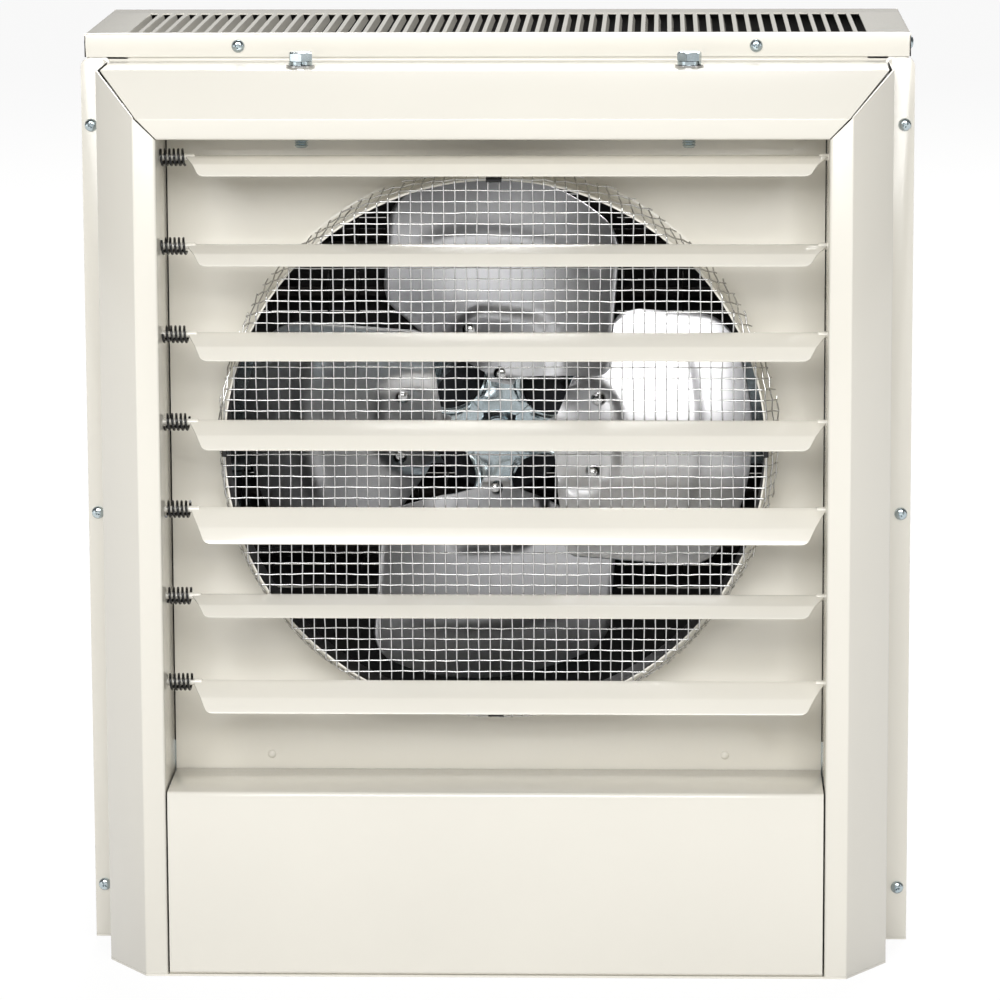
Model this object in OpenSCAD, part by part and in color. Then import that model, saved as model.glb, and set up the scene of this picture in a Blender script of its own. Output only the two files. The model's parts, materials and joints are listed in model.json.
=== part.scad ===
// Electric unit heater: a sheet-steel cabinet with a bevelled outlet frame, seven sprung louvers,
// a fan in a drawn collar behind a wire guard, finned heating elements and a wiring compartment.
// X runs to the right seen from the front, Y to the back and Z up. The part stands on its flat base.
// Depths are measured back from the face of the outlet frame.

/* [Cabinet] */
// Width over the front flanges
cabinet_w = 482.6; // [455:0.1:560]
// Height to the top of the cover
cabinet_h = 539; // [530:1:620]
// Depth from the outlet frame's face to the cover's rear lip
case_d = 254; // [250:1:320]
// Thickness of the painted sheet
sheet = 1.2; // [0.9:0.1:1.5]
// Inside radius of the bends
bend_r = 1.5; // [0.8:0.1:2]
// How far the front flanges stand out past the cover on each side
flange_reveal = 2.5; // [1.5:0.1:5]
// Depth of the front flanges behind the outlet frame's face
flange_d = 88; // [86:1:92]
// Width of the front flanges beside the outlet frame
flange_w = 14.3; // [12:0.1:20]
// Width of the side panels' inward flanges
side_flange_w = 24; // [16:1:28]

/* [Outlet frame] */
// Width of the flat border at each side
side_border = 12.9; // [8:0.1:14]
// Width of the flat border along the top
top_border = 11.8; // [8:0.1:16]
// Width of the bevel seen from the front
bevel_w = 24.2; // [15:0.1:26]
// Depth of the bevel
bevel_d = 36; // [20:1:38]
// Depth of the recess from the face to the baffle
recess_d = 62; // [60:1:66]
// Drop of the frame's top below the top of its flanges
frame_drop = 2; // [1:0.1:5]
// Gap left at the mitres and around the access panel
seam = 0.9; // [0.5:0.1:1.5]

/* [Access panel] */
// Height of the access panel below the outlet
panel_h = 109.6; // [106:0.1:116]

/* [Top cover] */
// Depth of the cover's lips
lip_h = 13.6; // [12:0.1:14.5]
// Gap between the front lip and the outlet frame
lip_gap = 0.7; // [0.4:0.1:1.5]
// Number of cooling slots
slot_count = 56; // [30:1:60]
// Margin between the slots and the cover's sides
slot_margin = 24; // [15:0.5:50]
// Width of a cooling slot
slot_w = 4; // [3:0.1:4.5]
// Setback of the slots behind the front lip
slot_setback = 7; // [5:0.5:15]
// Margin between the slots and the rear lip
slot_back_margin = 30; // [20:1:60]

/* [Louvers] */
// Number of louvers
louver_count = 7; // [7:1:7]
// Height of the top louver's axis below the top of the opening
louver_drop = 12.2; // [11:0.1:16]
// Height of the bottom louver's axis above the access panel
louver_foot = 60.1; // [40:0.1:70]
// Depth of the louvers' axes behind the face
louver_axis_d = 23; // [20:0.5:24]
// Width of a louver's rear face
louver_rear_w = 14.4; // [11:0.1:14.5]
// Width of a louver's front face
louver_front_w = 10.6; // [8:0.1:11]
// Bend between a louver's two faces in degrees
louver_bend = 19; // [10:1:30]
// Thickness of a louver
louver_t = 1; // [0.8:0.1:1.2]
// Radius of the pivot pins
pivot_r = 1.9; // [1.5:0.1:2.1]
// Length of the spring beside each louver
spring_len = 15.3; // [13:0.1:20]
// Outside radius of the springs
spring_r = 5.2; // [4.5:0.1:5.5]
// Wire thickness of the springs
spring_wire = 1.5; // [1.2:0.1:1.6]
// Number of turns in a spring
spring_turns = 5.5; // [4:0.5:5.5]

/* [Collar and guard] */
// Height of the fan's axis above the middle of the opening
fan_rise = 7.65; // [0:0.05:10]
// Gap between the collar and the recess's sides
collar_side_gap = 35.1; // [20:0.1:45]
// Gap between the collar and the recess's ceiling
collar_top_gap = 26.1; // [15:0.1:40]
// Setback of the collar's rim behind the louvers' axes
rim_setback = 4; // [3.5:0.5:8]
// Radius at the root of the collar
collar_root_r = 5; // [3:0.5:7]
// Wire thickness of the guard
guard_wire = 1; // [0.8:0.1:1.2]
// Spacing of the guard's wires
guard_pitch = 24; // [22:0.5:26]

/* [Fan] */
// Gap between the blades' tips and the collar
tip_gap = 5.8; // [3:0.1:15]
// Setback of the spider behind the baffle's face
fan_setback = 32; // [30:1:36]
// Pitch of the blades in degrees
blade_pitch = 29; // [20:1:30]
// Thickness of a blade
blade_t = 1.3; // [1:0.1:1.6]
// Radius of the blades' curve
camber_r = 260; // [220:5:400]
// Thickness of the spider
spider_t = 1.6; // [1.2:0.1:2.2]
// Radius of the hub
hub_r = 12; // [10:0.5:14]
// Turn of the fan at rest in degrees
fan_turn = 4.5; // [0:0.5:45]

/* [Motor] */
// Radius of the motor
motor_r = 42; // [39:0.5:50]
// Gap between the spider and the motor
motor_gap = 36; // [30:1:40]
// Radius of the shaft
shaft_r = 4; // [3:0.1:5]
// Clearance between the shaft and its bearings
shaft_fit = 0.05; // [0.02:0.01:0.08]

/* [Heating elements] */
// Setback of the elements in front of the back panel
element_gap = 23.6; // [18:0.1:30]
// Spacing of the elements' centres
element_pitch = 80; // [70:1:90]
// Spacing of an element's two legs
leg_pitch = 36; // [32:1:40]
// Radius of an element's tube
element_r = 4; // [3:0.1:5]
// Radius of the fins
fin_r = 14; // [10:0.5:15]
// Spacing of the fins
fin_pitch = 18; // [16:0.5:30]

/* [Mounting] */
// Radius of the hanging bolts' shanks
bolt_r = 3.97; // [3:0.01:4]
// Length of the hanging bolts' tips inside the recess
bolt_tip = 9.9; // [2:0.1:12]
// Distance of the hanging bolts from the recess's sides
bolt_inset = 78.9; // [30:0.1:120]
// Distance of the hanging bolts behind the bevel
bolt_setback = 16; // [12:1:30]
// Distance of the wall-bracket holes from the cabinet's sides
bracket_inset = 34.4; // [25:0.1:45]
// Distance of the wall-bracket holes from the opening's top and bottom
bracket_trim = 36.15; // [20:0.05:80]
// Radius of the wall-bracket holes
bracket_hole_r = 4.4; // [3:0.1:5]
// Radius of the conduit entry
conduit_r = 11.1; // [10:0.1:14]

/* [Hidden] */

// Colours of the finishes
cream = "#efece4";
zinc = "#b4b8b4";
bright_zinc = "#c9cccb";
spring_black = "#17171a";
aluminium = "#c4c6c9";
dark_steel = "#4a4c50";
sheath = "#6b5f57";
copper = "#b4703c";
ceramic = "#e8e4d8";
black_plastic = "#202226";
wire_red = "#a8322c";

// Overrun of every cut, the gap of loose parts and the side count of rounds
over = 1;
loose = 0.4;
small_fn = 16;
round_fn = 28;
big_fn = 72;

// Screws and washers
screw_head_r = 3.8;
screw_head_h = 2.4;
screw_r = 2;
screw_len = 6;
screw_hole_r = 2.2;
screw_dome_share = 0.6;
nut_af = 12.7;
nut_h = 6.5;
bolt_head_h = 5.4;
lock_washer_r = 6.8;
lock_washer_t = 2;
flat_washer_r = 8.4;
flat_washer_t = 1.6;
bolt_clear = 0.35;
washer_clear = 0.2;

// Places worked out from the driving sizes
reach = case_d + screw_head_h;
front_y = -reach / 2;
flange_half = cabinet_w / 2;
cover_half = flange_half - flange_reveal;
side_half = cover_half - sheet;
cover_under = cabinet_h - sheet;
back_d1 = case_d - sheet;
back_d0 = back_d1 - sheet;
frame_half = flange_half - flange_w;
border_half = frame_half - bevel_w;
opening_half = border_half - side_border;
lip_z0 = cabinet_h - lip_h;
flange_z1 = lip_z0 - lip_gap;
frame_z1 = flange_z1 - frame_drop;
border_z1 = frame_z1 - bevel_w;
opening_z1 = border_z1 - top_border;
opening_h = opening_z1 - panel_h;
side_d0 = flange_d + sheet;
baffle_d1 = recess_d + sheet;
louver_pitch = (opening_h - louver_drop - louver_foot) / (louver_count - 1);
fan_z = panel_h + opening_h / 2 + fan_rise;
collar_r = min(opening_half - collar_side_gap, opening_h / 2 - fan_rise - collar_top_gap);
rim_d = louver_axis_d + rim_setback;
fan_r = collar_r - tip_gap;
fan_d = recess_d + fan_setback;
slot_pitch = 2 * (cover_half - slot_margin) / slot_count;
slot_len = case_d - flange_d - slot_setback - slot_back_margin;
bolt_x = opening_half - bolt_inset;
bolt_d = bevel_d + bolt_setback;
bracket_w = 2 * (side_half - bracket_inset);
bracket_h = opening_h - 2 * bracket_trim;
bend_steps = 3;

// Flanges inside the cabinet
return_flange_w = 9;
riser_gap = 4;
riser_drop = 2;
riser_half = side_half - side_flange_w - riser_gap;
riser_z1 = cover_under - riser_drop;
shelf_drop = 9.6;
shelf_z1 = panel_h - shelf_drop;
shelf_riser_h = 26;
shelf_half = side_half - sheet;
panel_flange_d = 40;
panel_bend_r = 2.4;
panel_half = opening_half - seam;
floor_d1 = recess_d - seam;

// A 2D vector of length one, and a vector turned by an angle
function unit(v) = v / norm(v);
function turned(v, a) = [v[0] * cos(a) - v[1] * sin(a), v[0] * sin(a) + v[1] * cos(a)];
function left_of(v) = [-v[1], v[0]];

// Angle from one direction to the next, positive for a left turn
function turn_angle(u, v) = atan2(u[0] * v[1] - u[1] * v[0], u * v);

// The rounded corner at point i of a path: arc points on the path, or on the sheet's other face
function corner(p, i, t, r, other) =
    let (u = unit(p[i] - p[i - 1]), v = unit(p[i + 1] - p[i]), a = turn_angle(u, v),
         side = a >= 0 ? 1 : -1, r_path = side > 0 ? r + t : r,
         r_used = other ? (side > 0 ? r : r + t) : r_path,
         start = p[i] - u * r_path * tan(abs(a) / 2), centre = start + left_of(u) * r_path * side)
    [for (k = [0:bend_steps]) centre + turned((start - centre) * r_used / r_path, a * k / bend_steps)];

// Outline of a bent sheet: the path is one face and the sheet lies to its left
function sheet_outline(p, t, r) =
    let (n = len(p) - 1, first = left_of(unit(p[1] - p[0])), last = left_of(unit(p[n] - p[n - 1])))
    concat([p[0]], [for (i = [1:1:n - 1]) each corner(p, i, t, r, false)], [p[n], p[n] + last * t],
        [for (i = [n - 1:-1:1]) let (c = corner(p, i, t, r, true)) for (k = [bend_steps:-1:0]) c[k]],
        [p[0] + first * t]);

// Everything is drawn from the frame's face and moved to the middle of the depth
module at_front() {
    translate([0, front_y, 0]) children();
}

// A block between two places along each axis
module block(x, d, z) {
    translate([x[0], d[0], z[0]]) cube([x[1] - x[0], d[1] - d[0], z[1] - z[0]]);
}

// A section drawn in X and depth, raised from z0 to z1
module upright(z0, z1) {
    translate([0, 0, z0]) linear_extrude(z1 - z0) children();
}

// A section drawn in depth and height, run from x0 to x1
module lengthwise(x0, x1) {
    translate([x0, 0, 0]) rotate([90, 0, 90]) linear_extrude(x1 - x0) children();
}

// An outline drawn in X and height, run from depth d0 to d1
module across(d0, d1) {
    translate([0, d1, 0]) rotate([90, 0, 0]) linear_extrude(d1 - d0) children();
}

// Rods along X, depth and Z
module rod_x(x0, x1, d, z, r, fn = small_fn) {
    translate([x0, d, z]) rotate([0, 90, 0]) cylinder(h = x1 - x0, r = r, $fn = fn);
}

module rod_d(d0, d1, x, z, r, fn = small_fn) {
    translate([x, d0, z]) rotate([-90, 0, 0]) cylinder(h = d1 - d0, r = r, $fn = fn);
}

module rod_z(z0, z1, x, d, r, fn = small_fn) {
    translate([x, d, z0]) cylinder(h = z1 - z0, r = r, $fn = fn);
}

// Children with +Z pointing to the back, on the fan's axis
module on_fan_axis(d) {
    translate([0, d, fan_z]) rotate([-90, 0, 0]) children();
}

// A copy on each side
module both_sides() {
    children();
    mirror([1, 0, 0]) children();
}

// A pan-head screw: the head stands in +Z and the shank goes down
module pan_screw(len = screw_len) {
    cylinder(h = screw_head_h * screw_dome_share, r = screw_head_r, $fn = small_fn);
    translate([0, 0, screw_head_h * screw_dome_share])
        cylinder(h = screw_head_h * (1 - screw_dome_share), r1 = screw_head_r,
            r2 = screw_head_r * screw_dome_share, $fn = small_fn);
    translate([0, 0, -len]) cylinder(h = len, r = screw_r, $fn = small_fn);
}

// Screw places: points in X and height on the front flanges, the back panel and the baffle
flange_screw_inset = 5.6;
flange_screw_x = flange_half - flange_screw_inset;
flange_screw_shares = [0.061, 0.4905, 0.926];
flange_screw_z = [for (s = flange_screw_shares) s * flange_z1];
lip_screw_share = 0.63;
lip_screw_x = side_half * lip_screw_share;
lip_screw_drop = 0.5;
lip_screw_z = cabinet_h - lip_h / 2 - lip_screw_drop;
end_inset = 20;
lip_side_screw_d = [flange_d + end_inset, back_d1 - end_inset];
rear_lip_screw_share = 0.72;
rear_lip_screw_x = side_half * rear_lip_screw_share;
back_screw_x = side_half - side_flange_w / 2;
back_screw_z = [end_inset, cabinet_h / 2, lip_z0 - end_inset];
baffle_screw_share = 0.7;
baffle_screw_x = opening_half * baffle_screw_share;
baffle_screw_rise = 8.4;
baffle_screw_z = panel_h + baffle_screw_rise;
baffle_side_x = opening_half + return_flange_w / 2;
baffle_side_share = 0.32;
baffle_side_z = [fan_z - opening_h * baffle_side_share, fan_z + opening_h * baffle_side_share];

// Bottom pan

// Outline of the base in X and depth
base_right = [[border_half, 0], [frame_half, bevel_d], [frame_half, flange_d],
    [flange_half, flange_d], [flange_half, side_d0], [side_half, side_d0], [side_half, back_d0]];
base_outline = concat(base_right, [for (i = [len(base_right) - 1:-1:0]) [-base_right[i][0], base_right[i][1]]]);
panel_screw_share = 0.74;
panel_screw_x = opening_half * panel_screw_share;
panel_screw_d = panel_flange_d / 2;
panel_screw_head_r = 4;

module bottom_pan() {
    color(cream) at_front() difference() {
        upright(0, sheet) polygon(base_outline);
        both_sides() translate([panel_screw_x, panel_screw_d, 0]) {
            cylinder(h = sheet, r1 = panel_screw_head_r, r2 = screw_hole_r, $fn = small_fn);
            translate([0, 0, -over]) cylinder(h = sheet + 2 * over, r = screw_hole_r, $fn = small_fn);
        }
    }
}

// Side panels: a wall with a flange along the front and the back

side_path = [[side_half - side_flange_w, side_d0], [side_half, side_d0], [side_half, back_d0],
    [side_half - side_flange_w, back_d0]];
bracket_screw_rise = 18;
bracket_screw_z = [fan_z - bracket_screw_rise, fan_z + bracket_screw_rise];
bracket_flange_w = 20;

module side_panel() {
    difference() {
        upright(sheet, cover_under) polygon(sheet_outline(side_path, sheet, bend_r));
        for (z = flange_screw_z)
            rod_d(side_d0 - over, side_d0 + sheet + over, flange_screw_x, z, screw_hole_r);
        for (z = back_screw_z)
            rod_d(back_d0 - sheet - over, back_d0 + over, back_screw_x, z, screw_hole_r);
        for (d = lip_side_screw_d)
            rod_x(side_half - sheet - over, side_half + over, d, lip_screw_z, screw_hole_r);
        for (z = bracket_screw_z)
            rod_x(side_half - sheet - over, side_half + over, bracket_screw_d, z, screw_hole_r);
    }
}

module left_side_panel() {
    color(cream) at_front() mirror([1, 0, 0]) side_panel();
}

module right_side_panel() {
    color(cream) at_front() side_panel();
}

// Back panel: slotted air inlet, bracket holes, conduit entry and a knockout

intake_slot_h = 6;
intake_rows = 20;
intake_cols = 3;
intake_bar = 14;
intake_margin = 54;
intake_trim = 44;
intake_col_pitch = 2 * (side_half - intake_margin) / intake_cols;
intake_slot_w = intake_col_pitch - intake_bar;
intake_pitch = (opening_h - 2 * intake_trim) / intake_rows;
conduit_inset = 87.6;
conduit_x = -side_half + conduit_inset;
conduit_z = panel_h / 2;
knockout_pitch = 55;
knockout_x = conduit_x + knockout_pitch;

module intake_slots() {
    for (i = [0:intake_rows - 1])
        for (j = [0:intake_cols - 1])
            translate([(j - (intake_cols - 1) / 2) * intake_col_pitch - intake_slot_w / 2,
                fan_z + (i - (intake_rows - 1) / 2) * intake_pitch - intake_slot_h / 2])
                square([intake_slot_w, intake_slot_h]);
}

module back_panel() {
    color(cream) at_front() difference() {
        across(back_d0, back_d1) difference() {
            translate([-side_half, 0]) square([2 * side_half, cover_under]);
            intake_slots();
        }
        for (x = [-bracket_w / 2, bracket_w / 2])
            for (z = [fan_z - bracket_h / 2, fan_z + bracket_h / 2])
                rod_d(back_d0 - over, back_d1 + over, x, z, bracket_hole_r);
        for (x = [conduit_x, knockout_x])
            rod_d(back_d0 - over, back_d1 + over, x, conduit_z, conduit_r, round_fn);
        both_sides() for (z = back_screw_z)
            rod_d(back_d0 - over, back_d1 + over, back_screw_x, z, screw_hole_r);
        both_sides() rod_d(back_d0 - over, back_d1 + over, rear_lip_screw_x, lip_screw_z, screw_hole_r);
        for (x = element_screw_x)
            for (z = element_flange_z)
                rod_d(back_d0 - over, back_d1 + over, x, z, screw_hole_r);
    }
}

knockout_lip = 1.6;
knockout_t = 1.5;

module knockout_plug() {
    color(zinc) at_front() {
        rod_d(back_d1, back_d1 + knockout_t, knockout_x, conduit_z, conduit_r + knockout_lip, round_fn);
        rod_d(back_d0, back_d1, knockout_x, conduit_z, conduit_r, round_fn);
    }
}

// Top cover: four lips and a field of lanced cooling slots

fin_t = 0.9;
fin_h = 4.6;
fin_lean = 1.5;
fin_root = 0.6;
slot_d0 = flange_d + slot_setback;
slot_field_x = (slot_count - 1) / 2 * slot_pitch;

module cover_lips() {
    difference() {
        block([-cover_half, cover_half], [flange_d, case_d], [lip_z0, cabinet_h]);
        block([-cover_half + sheet, cover_half - sheet], [flange_d + sheet, case_d - sheet],
            [lip_z0 - over, cover_under]);
    }
}

// Middle of a slot, and the fin that is lanced down from the slot's left edge
function slot_x(i) = i * slot_pitch - slot_field_x;

module cover_fin(i) {
    root_x = slot_x(i) - slot_w / 2 - fin_root;
    across(slot_d0, slot_d0 + slot_len)
        polygon([[root_x - fin_t, cover_under + sheet / 2], [root_x, cover_under + sheet / 2],
            [root_x + fin_lean, cabinet_h - fin_h], [root_x + fin_lean - fin_t, cabinet_h - fin_h]]);
}

module top_cover() {
    color(cream) at_front() {
        difference() {
            cover_lips();
            for (i = [0:slot_count - 1])
                block([slot_x(i) - slot_w / 2, slot_x(i) + slot_w / 2],
                    [slot_d0, slot_d0 + slot_len], [cover_under - over, cabinet_h + over]);
            both_sides() {
                rod_d(flange_d - over, flange_d + sheet + over, lip_screw_x, lip_screw_z, screw_hole_r);
                rod_d(back_d1 - over, case_d + over, rear_lip_screw_x, lip_screw_z, screw_hole_r);
                for (d = lip_side_screw_d)
                    rod_x(side_half - over, cover_half + over, d, lip_screw_z, screw_hole_r);
            }
        }
        for (i = [0:slot_count - 1]) cover_fin(i);
    }
}

// Wiring shelf: the floor of the fan chamber, with a riser that carries the baffle

shelf_path = [[baffle_d1, shelf_z1 + shelf_riser_h], [baffle_d1, shelf_z1 - sheet],
    [back_d0, shelf_z1 - sheet]];
wire_hole_inset = 37.6;
wire_hole_x = side_half - wire_hole_inset;
wire_hole_r = 9;
wire_hole_setback = 60;
wire_hole_d = flange_d + wire_hole_setback;
shelf_notch_d = side_d0 + sheet + bend_r;

module wiring_shelf() {
    color(zinc) at_front() difference() {
        union() {
            lengthwise(-riser_half, riser_half) polygon(sheet_outline(shelf_path, sheet, bend_r));
            block([-shelf_half, shelf_half], [shelf_notch_d, back_d0 - sheet - bend_r],
                [shelf_z1 - sheet, shelf_z1]);
        }
        both_sides()
            rod_d(baffle_d1 - over, baffle_d1 + sheet + over, baffle_screw_x, baffle_screw_z, screw_hole_r);
        rod_z(shelf_z1 - sheet - over, shelf_z1 + over, wire_hole_x, wire_hole_d, wire_hole_r, round_fn);
        rod_z(shelf_z1 - sheet - over, shelf_z1 + over, -wire_hole_x, wire_hole_d, wire_hole_r, round_fn);
    }
}

// Fan baffle: a plate with a collar drawn forwards

baffle_half = opening_half + return_flange_w;
baffle_z1 = opening_z1 + return_flange_w;

// Section of the collar: a straight wall with a quarter round at its root
module collar_section_2d() {
    outer = collar_r + sheet + collar_root_r;
    translate([collar_r, rim_d - recess_d]) square([sheet, recess_d - rim_d - collar_root_r]);
    translate([outer - over, 0]) square([2 * over, sheet]);
    difference() {
        translate([collar_r, -collar_root_r]) square([collar_root_r + sheet, collar_root_r + sheet]);
        translate([outer, -collar_root_r]) circle(r = collar_root_r, $fn = round_fn);
        difference() {
            translate([collar_r, -collar_root_r]) square([collar_root_r + sheet, collar_root_r + sheet]);
            translate([outer, -collar_root_r]) circle(r = collar_root_r + sheet, $fn = round_fn);
        }
    }
}

module fan_baffle() {
    color(cream) at_front() {
        difference() {
            block([-baffle_half, baffle_half], [recess_d, baffle_d1], [shelf_z1, baffle_z1]);
            on_fan_axis(recess_d - over)
                cylinder(h = sheet + 2 * over, r = collar_r + sheet + collar_root_r, $fn = big_fn);
            both_sides() {
                rod_d(recess_d - over, baffle_d1 + over, baffle_screw_x, baffle_screw_z, screw_hole_r);
                for (z = baffle_side_z)
                    rod_d(recess_d - over, baffle_d1 + over, baffle_side_x, z, screw_hole_r);
            }
            for (x = limit_screw_x)
                rod_d(recess_d - over, baffle_d1 + over, x, limit_z, screw_hole_r);
        }
        on_fan_axis(recess_d) rotate_extrude($fn = big_fn) collar_section_2d();
    }
}

// Outlet frame: one section round the sides and the top, with mitred corners

side_frame_path = [[baffle_half, recess_d], [opening_half, recess_d], [opening_half, 0],
    [border_half, 0], [frame_half, bevel_d], [frame_half, flange_d], [flange_half, flange_d]];
top_frame_path = [[baffle_z1, recess_d], [opening_z1, recess_d], [opening_z1, 0],
    [border_z1, 0], [frame_z1, bevel_d], [frame_z1, side_d0], [riser_z1, side_d0]];

// The side pieces' share of the front: everything outside the mitres
mitre_out = [frame_half, frame_z1];
mitre_in = [opening_half, opening_z1];

module side_share() {
    polygon([[mitre_in[0] - over, 0], [flange_half + over, 0], [flange_half + over, flange_z1],
        [frame_half, flange_z1], [frame_half - sheet, frame_z1 - sheet],
        mitre_in, [mitre_in[0] - over, mitre_in[1]]]);
}

module top_share() {
    polygon([mitre_in + [-seam, 0], mitre_out + [-seam, 0], [frame_half - seam, riser_z1 + over],
        [-frame_half + seam, riser_z1 + over], [-mitre_out[0] + seam, mitre_out[1]],
        [-mitre_in[0] + seam, mitre_in[1]]]);
}

flange_corner_r = 5;

module frame_side() {
    difference() {
        intersection() {
            upright(sheet, flange_z1) polygon(sheet_outline(side_frame_path, sheet, bend_r));
            across(-over, flange_d + 2 * over) side_share();
        }
        for (i = [0:louver_count - 1])
            rod_x(opening_half - over, opening_half + sheet + over, louver_axis_d, louver_z(i), pivot_hole_r);
        for (z = flange_screw_z)
            rod_d(flange_d - over, side_d0 + over, flange_screw_x, z, screw_hole_r);
        for (z = baffle_side_z)
            rod_d(recess_d - sheet - over, recess_d + over, baffle_side_x, z, screw_hole_r);
        across(flange_d - over, side_d0 + over) difference() {
            translate([flange_half - flange_corner_r, flange_z1 - flange_corner_r])
                square([flange_corner_r + over, flange_corner_r + over]);
            translate([flange_half - flange_corner_r, flange_z1 - flange_corner_r])
                circle(r = flange_corner_r, $fn = round_fn);
        }
    }
}

module frame_left() {
    color(cream) at_front() mirror([1, 0, 0]) frame_side();
}

module frame_right() {
    color(cream) at_front() frame_side();
}

module frame_top() {
    color(cream) at_front() difference() {
        intersection() {
            lengthwise(-frame_half, frame_half)
                polygon([for (p = sheet_outline(top_frame_path, sheet, bend_r)) [p[1], p[0]]]);
            across(-over, side_d0 + sheet + over) top_share();
        }
        both_sides() {
            rod_z(opening_z1 - over, frame_z1 + over, bolt_x, bolt_d, bolt_r + bolt_clear);
            block([riser_half, frame_half + over], [side_d0 - bend_r - sheet, side_d0 + sheet + over],
                [frame_z1 - sheet - over, riser_z1 + over]);
            rod_d(flange_d - over, side_d0 + sheet + over, lip_screw_x, lip_screw_z, screw_hole_r);
        }
    }
}

// Access panel: a face with a folded top that makes the floor of the recess

panel_path = [[panel_flange_d, sheet], [0, sheet], [0, panel_h], [floor_d1, panel_h]];

module access_panel() {
    color(cream) at_front() difference() {
        lengthwise(-panel_half, panel_half)
            polygon(sheet_outline([for (i = [3:-1:0]) panel_path[i]], sheet, panel_bend_r));
        both_sides() rod_z(sheet - over, 2 * sheet + over, panel_screw_x, panel_screw_d, screw_hole_r);
    }
}

module panel_screws() {
    color(zinc) at_front() both_sides() translate([panel_screw_x, panel_screw_d, 0]) {
        cylinder(h = sheet, r1 = panel_screw_head_r, r2 = screw_r, $fn = small_fn);
        cylinder(h = sheet + screw_len, r = screw_r, $fn = small_fn);
    }
}

// Louvers: a blade of two faces with tapered ends, turning on two stub pins

pivot_fit = 0.08;
pivot_hole_r = pivot_r + pivot_fit;
louver_tilts = [13, 14, 24, 26, 39, 13, 30];
louver_end_gap = 0.6;
louver_left_x = -opening_half + spring_len;
louver_right_x = opening_half - louver_end_gap;
louver_taper_l = 8;
louver_taper_r = 10;
louver_neck = 5;
louver_corner_r = 6;
function louver_z(i) = opening_z1 - louver_drop - i * louver_pitch;

// Section of a louver in depth and height, with its axis at the origin
louver_path = [[0, 0], [-louver_rear_w, 0],
    [-louver_rear_w - louver_front_w * cos(louver_bend), -louver_front_w * sin(louver_bend)]];

// Outline of a louver seen square to its rear face: x, and the distance forward of the axis
module louver_outline() {
    reach_f = louver_rear_w + louver_front_w + over;
    hull() {
        translate([louver_left_x + louver_neck, 0]) circle(r = pivot_r, $fn = small_fn);
        translate([louver_right_x - louver_neck, 0]) circle(r = pivot_r, $fn = small_fn);
        translate([louver_left_x, -pivot_r]) square([over, pivot_r]);
        translate([louver_right_x - over, -pivot_r]) square([over, pivot_r]);
        translate([louver_left_x + louver_taper_l + louver_corner_r, -reach_f + louver_corner_r + over])
            circle(r = louver_corner_r, $fn = round_fn);
        translate([louver_right_x - louver_taper_r - louver_corner_r, -reach_f + louver_corner_r + over])
            circle(r = louver_corner_r, $fn = round_fn);
    }
}

module louver(i) {
    color(cream) at_front() translate([0, louver_axis_d, louver_z(i)]) {
        rotate([louver_tilts[i], 0, 0]) intersection() {
            lengthwise(louver_left_x, louver_right_x)
                polygon(sheet_outline(louver_path, louver_t, bend_r));
            translate([0, 0, -louver_rear_w]) linear_extrude(2 * louver_rear_w) louver_outline();
        }
        rod_x(-opening_half - sheet, louver_left_x + louver_neck, 0, 0, pivot_r);
        rod_x(louver_right_x - louver_neck, opening_half + sheet, 0, 0, pivot_r);
    }
}

module louver_1() { louver(0); }
module louver_2() { louver(1); }
module louver_3() { louver(2); }
module louver_4() { louver(3); }
module louver_5() { louver(4); }
module louver_6() { louver(5); }
module louver_7() { louver(6); }

// Springs: one unbroken wire each, with a straight end a wire's thickness long

wire_sides = 6;
rings_per_turn = 8;
spring_run = spring_len - loose - 2 * spring_wire;
coil_r = spring_r - spring_wire / 2;
spring_rings = spring_turns * rings_per_turn;

// Points along the middle of the wire: a straight end, the coil and a straight end
function coil_point(k) =
    let (a = 360 * k / rings_per_turn)
    [spring_wire + spring_run * k / spring_rings, coil_r * cos(a), coil_r * sin(a)];
spring_points = concat([coil_point(0) - [spring_wire, 0, 0]], [for (k = [0:spring_rings]) coil_point(k)],
    [coil_point(spring_rings) + [spring_wire, 0, 0]]);

// Rings of a wire along points, as one closed skin: guide gives the ring's first direction
function wire_ring(p, i, r, sides, out) =
    let (n = len(p) - 1, t = i == 0 ? unit(p[1] - p[0]) : i == n ? unit(p[n] - p[n - 1]) :
             unit(unit(p[i + 1] - p[i]) + unit(p[i] - p[i - 1])),
         b = unit(cross(t, out)), m = cross(b, t))
    [for (s = [0:sides - 1]) p[i] + r * (cos(360 * s / sides) * m + sin(360 * s / sides) * b)];

module wire_skin(rings, sides) {
    last = len(rings) - 1;
    points = [for (r = rings) each r];
    walls = [for (i = [0:last - 1]) for (s = [0:sides - 1])
        let (a = i * sides + s, b = i * sides + (s + 1) % sides)
        each [[a, a + sides, b], [b, a + sides, b + sides]]];
    caps = concat([for (s = [1:sides - 2]) [0, s, s + 1]],
        [for (s = [1:sides - 2]) [last * sides, last * sides + s + 1, last * sides + s]]);
    polyhedron(points = points, faces = concat(walls, caps));
}

module spring() {
    n = len(spring_points) - 1;
    wire_skin([for (i = [0:n]) wire_ring(spring_points, i, spring_wire / 2, wire_sides,
        [0, spring_points[i][1], spring_points[i][2]])], wire_sides);
}

spring_gap = min([for (i = [0:len(spring_points) - 1])
    for (j = [i + rings_per_turn / 2 + 1:1:len(spring_points) - 1])
        norm(spring_points[i] - spring_points[j])]) - spring_wire;

module louver_springs() {
    echo("least gap between the turns of a louver spring, mm", spring_gap);
    color(spring_black) at_front() for (i = [0:louver_count - 1])
        translate([-opening_half, louver_axis_d, louver_z(i)]) spring();
}

// Wire guard: level wires on the collar's rim and upright wires on those, each a separate rod

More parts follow.
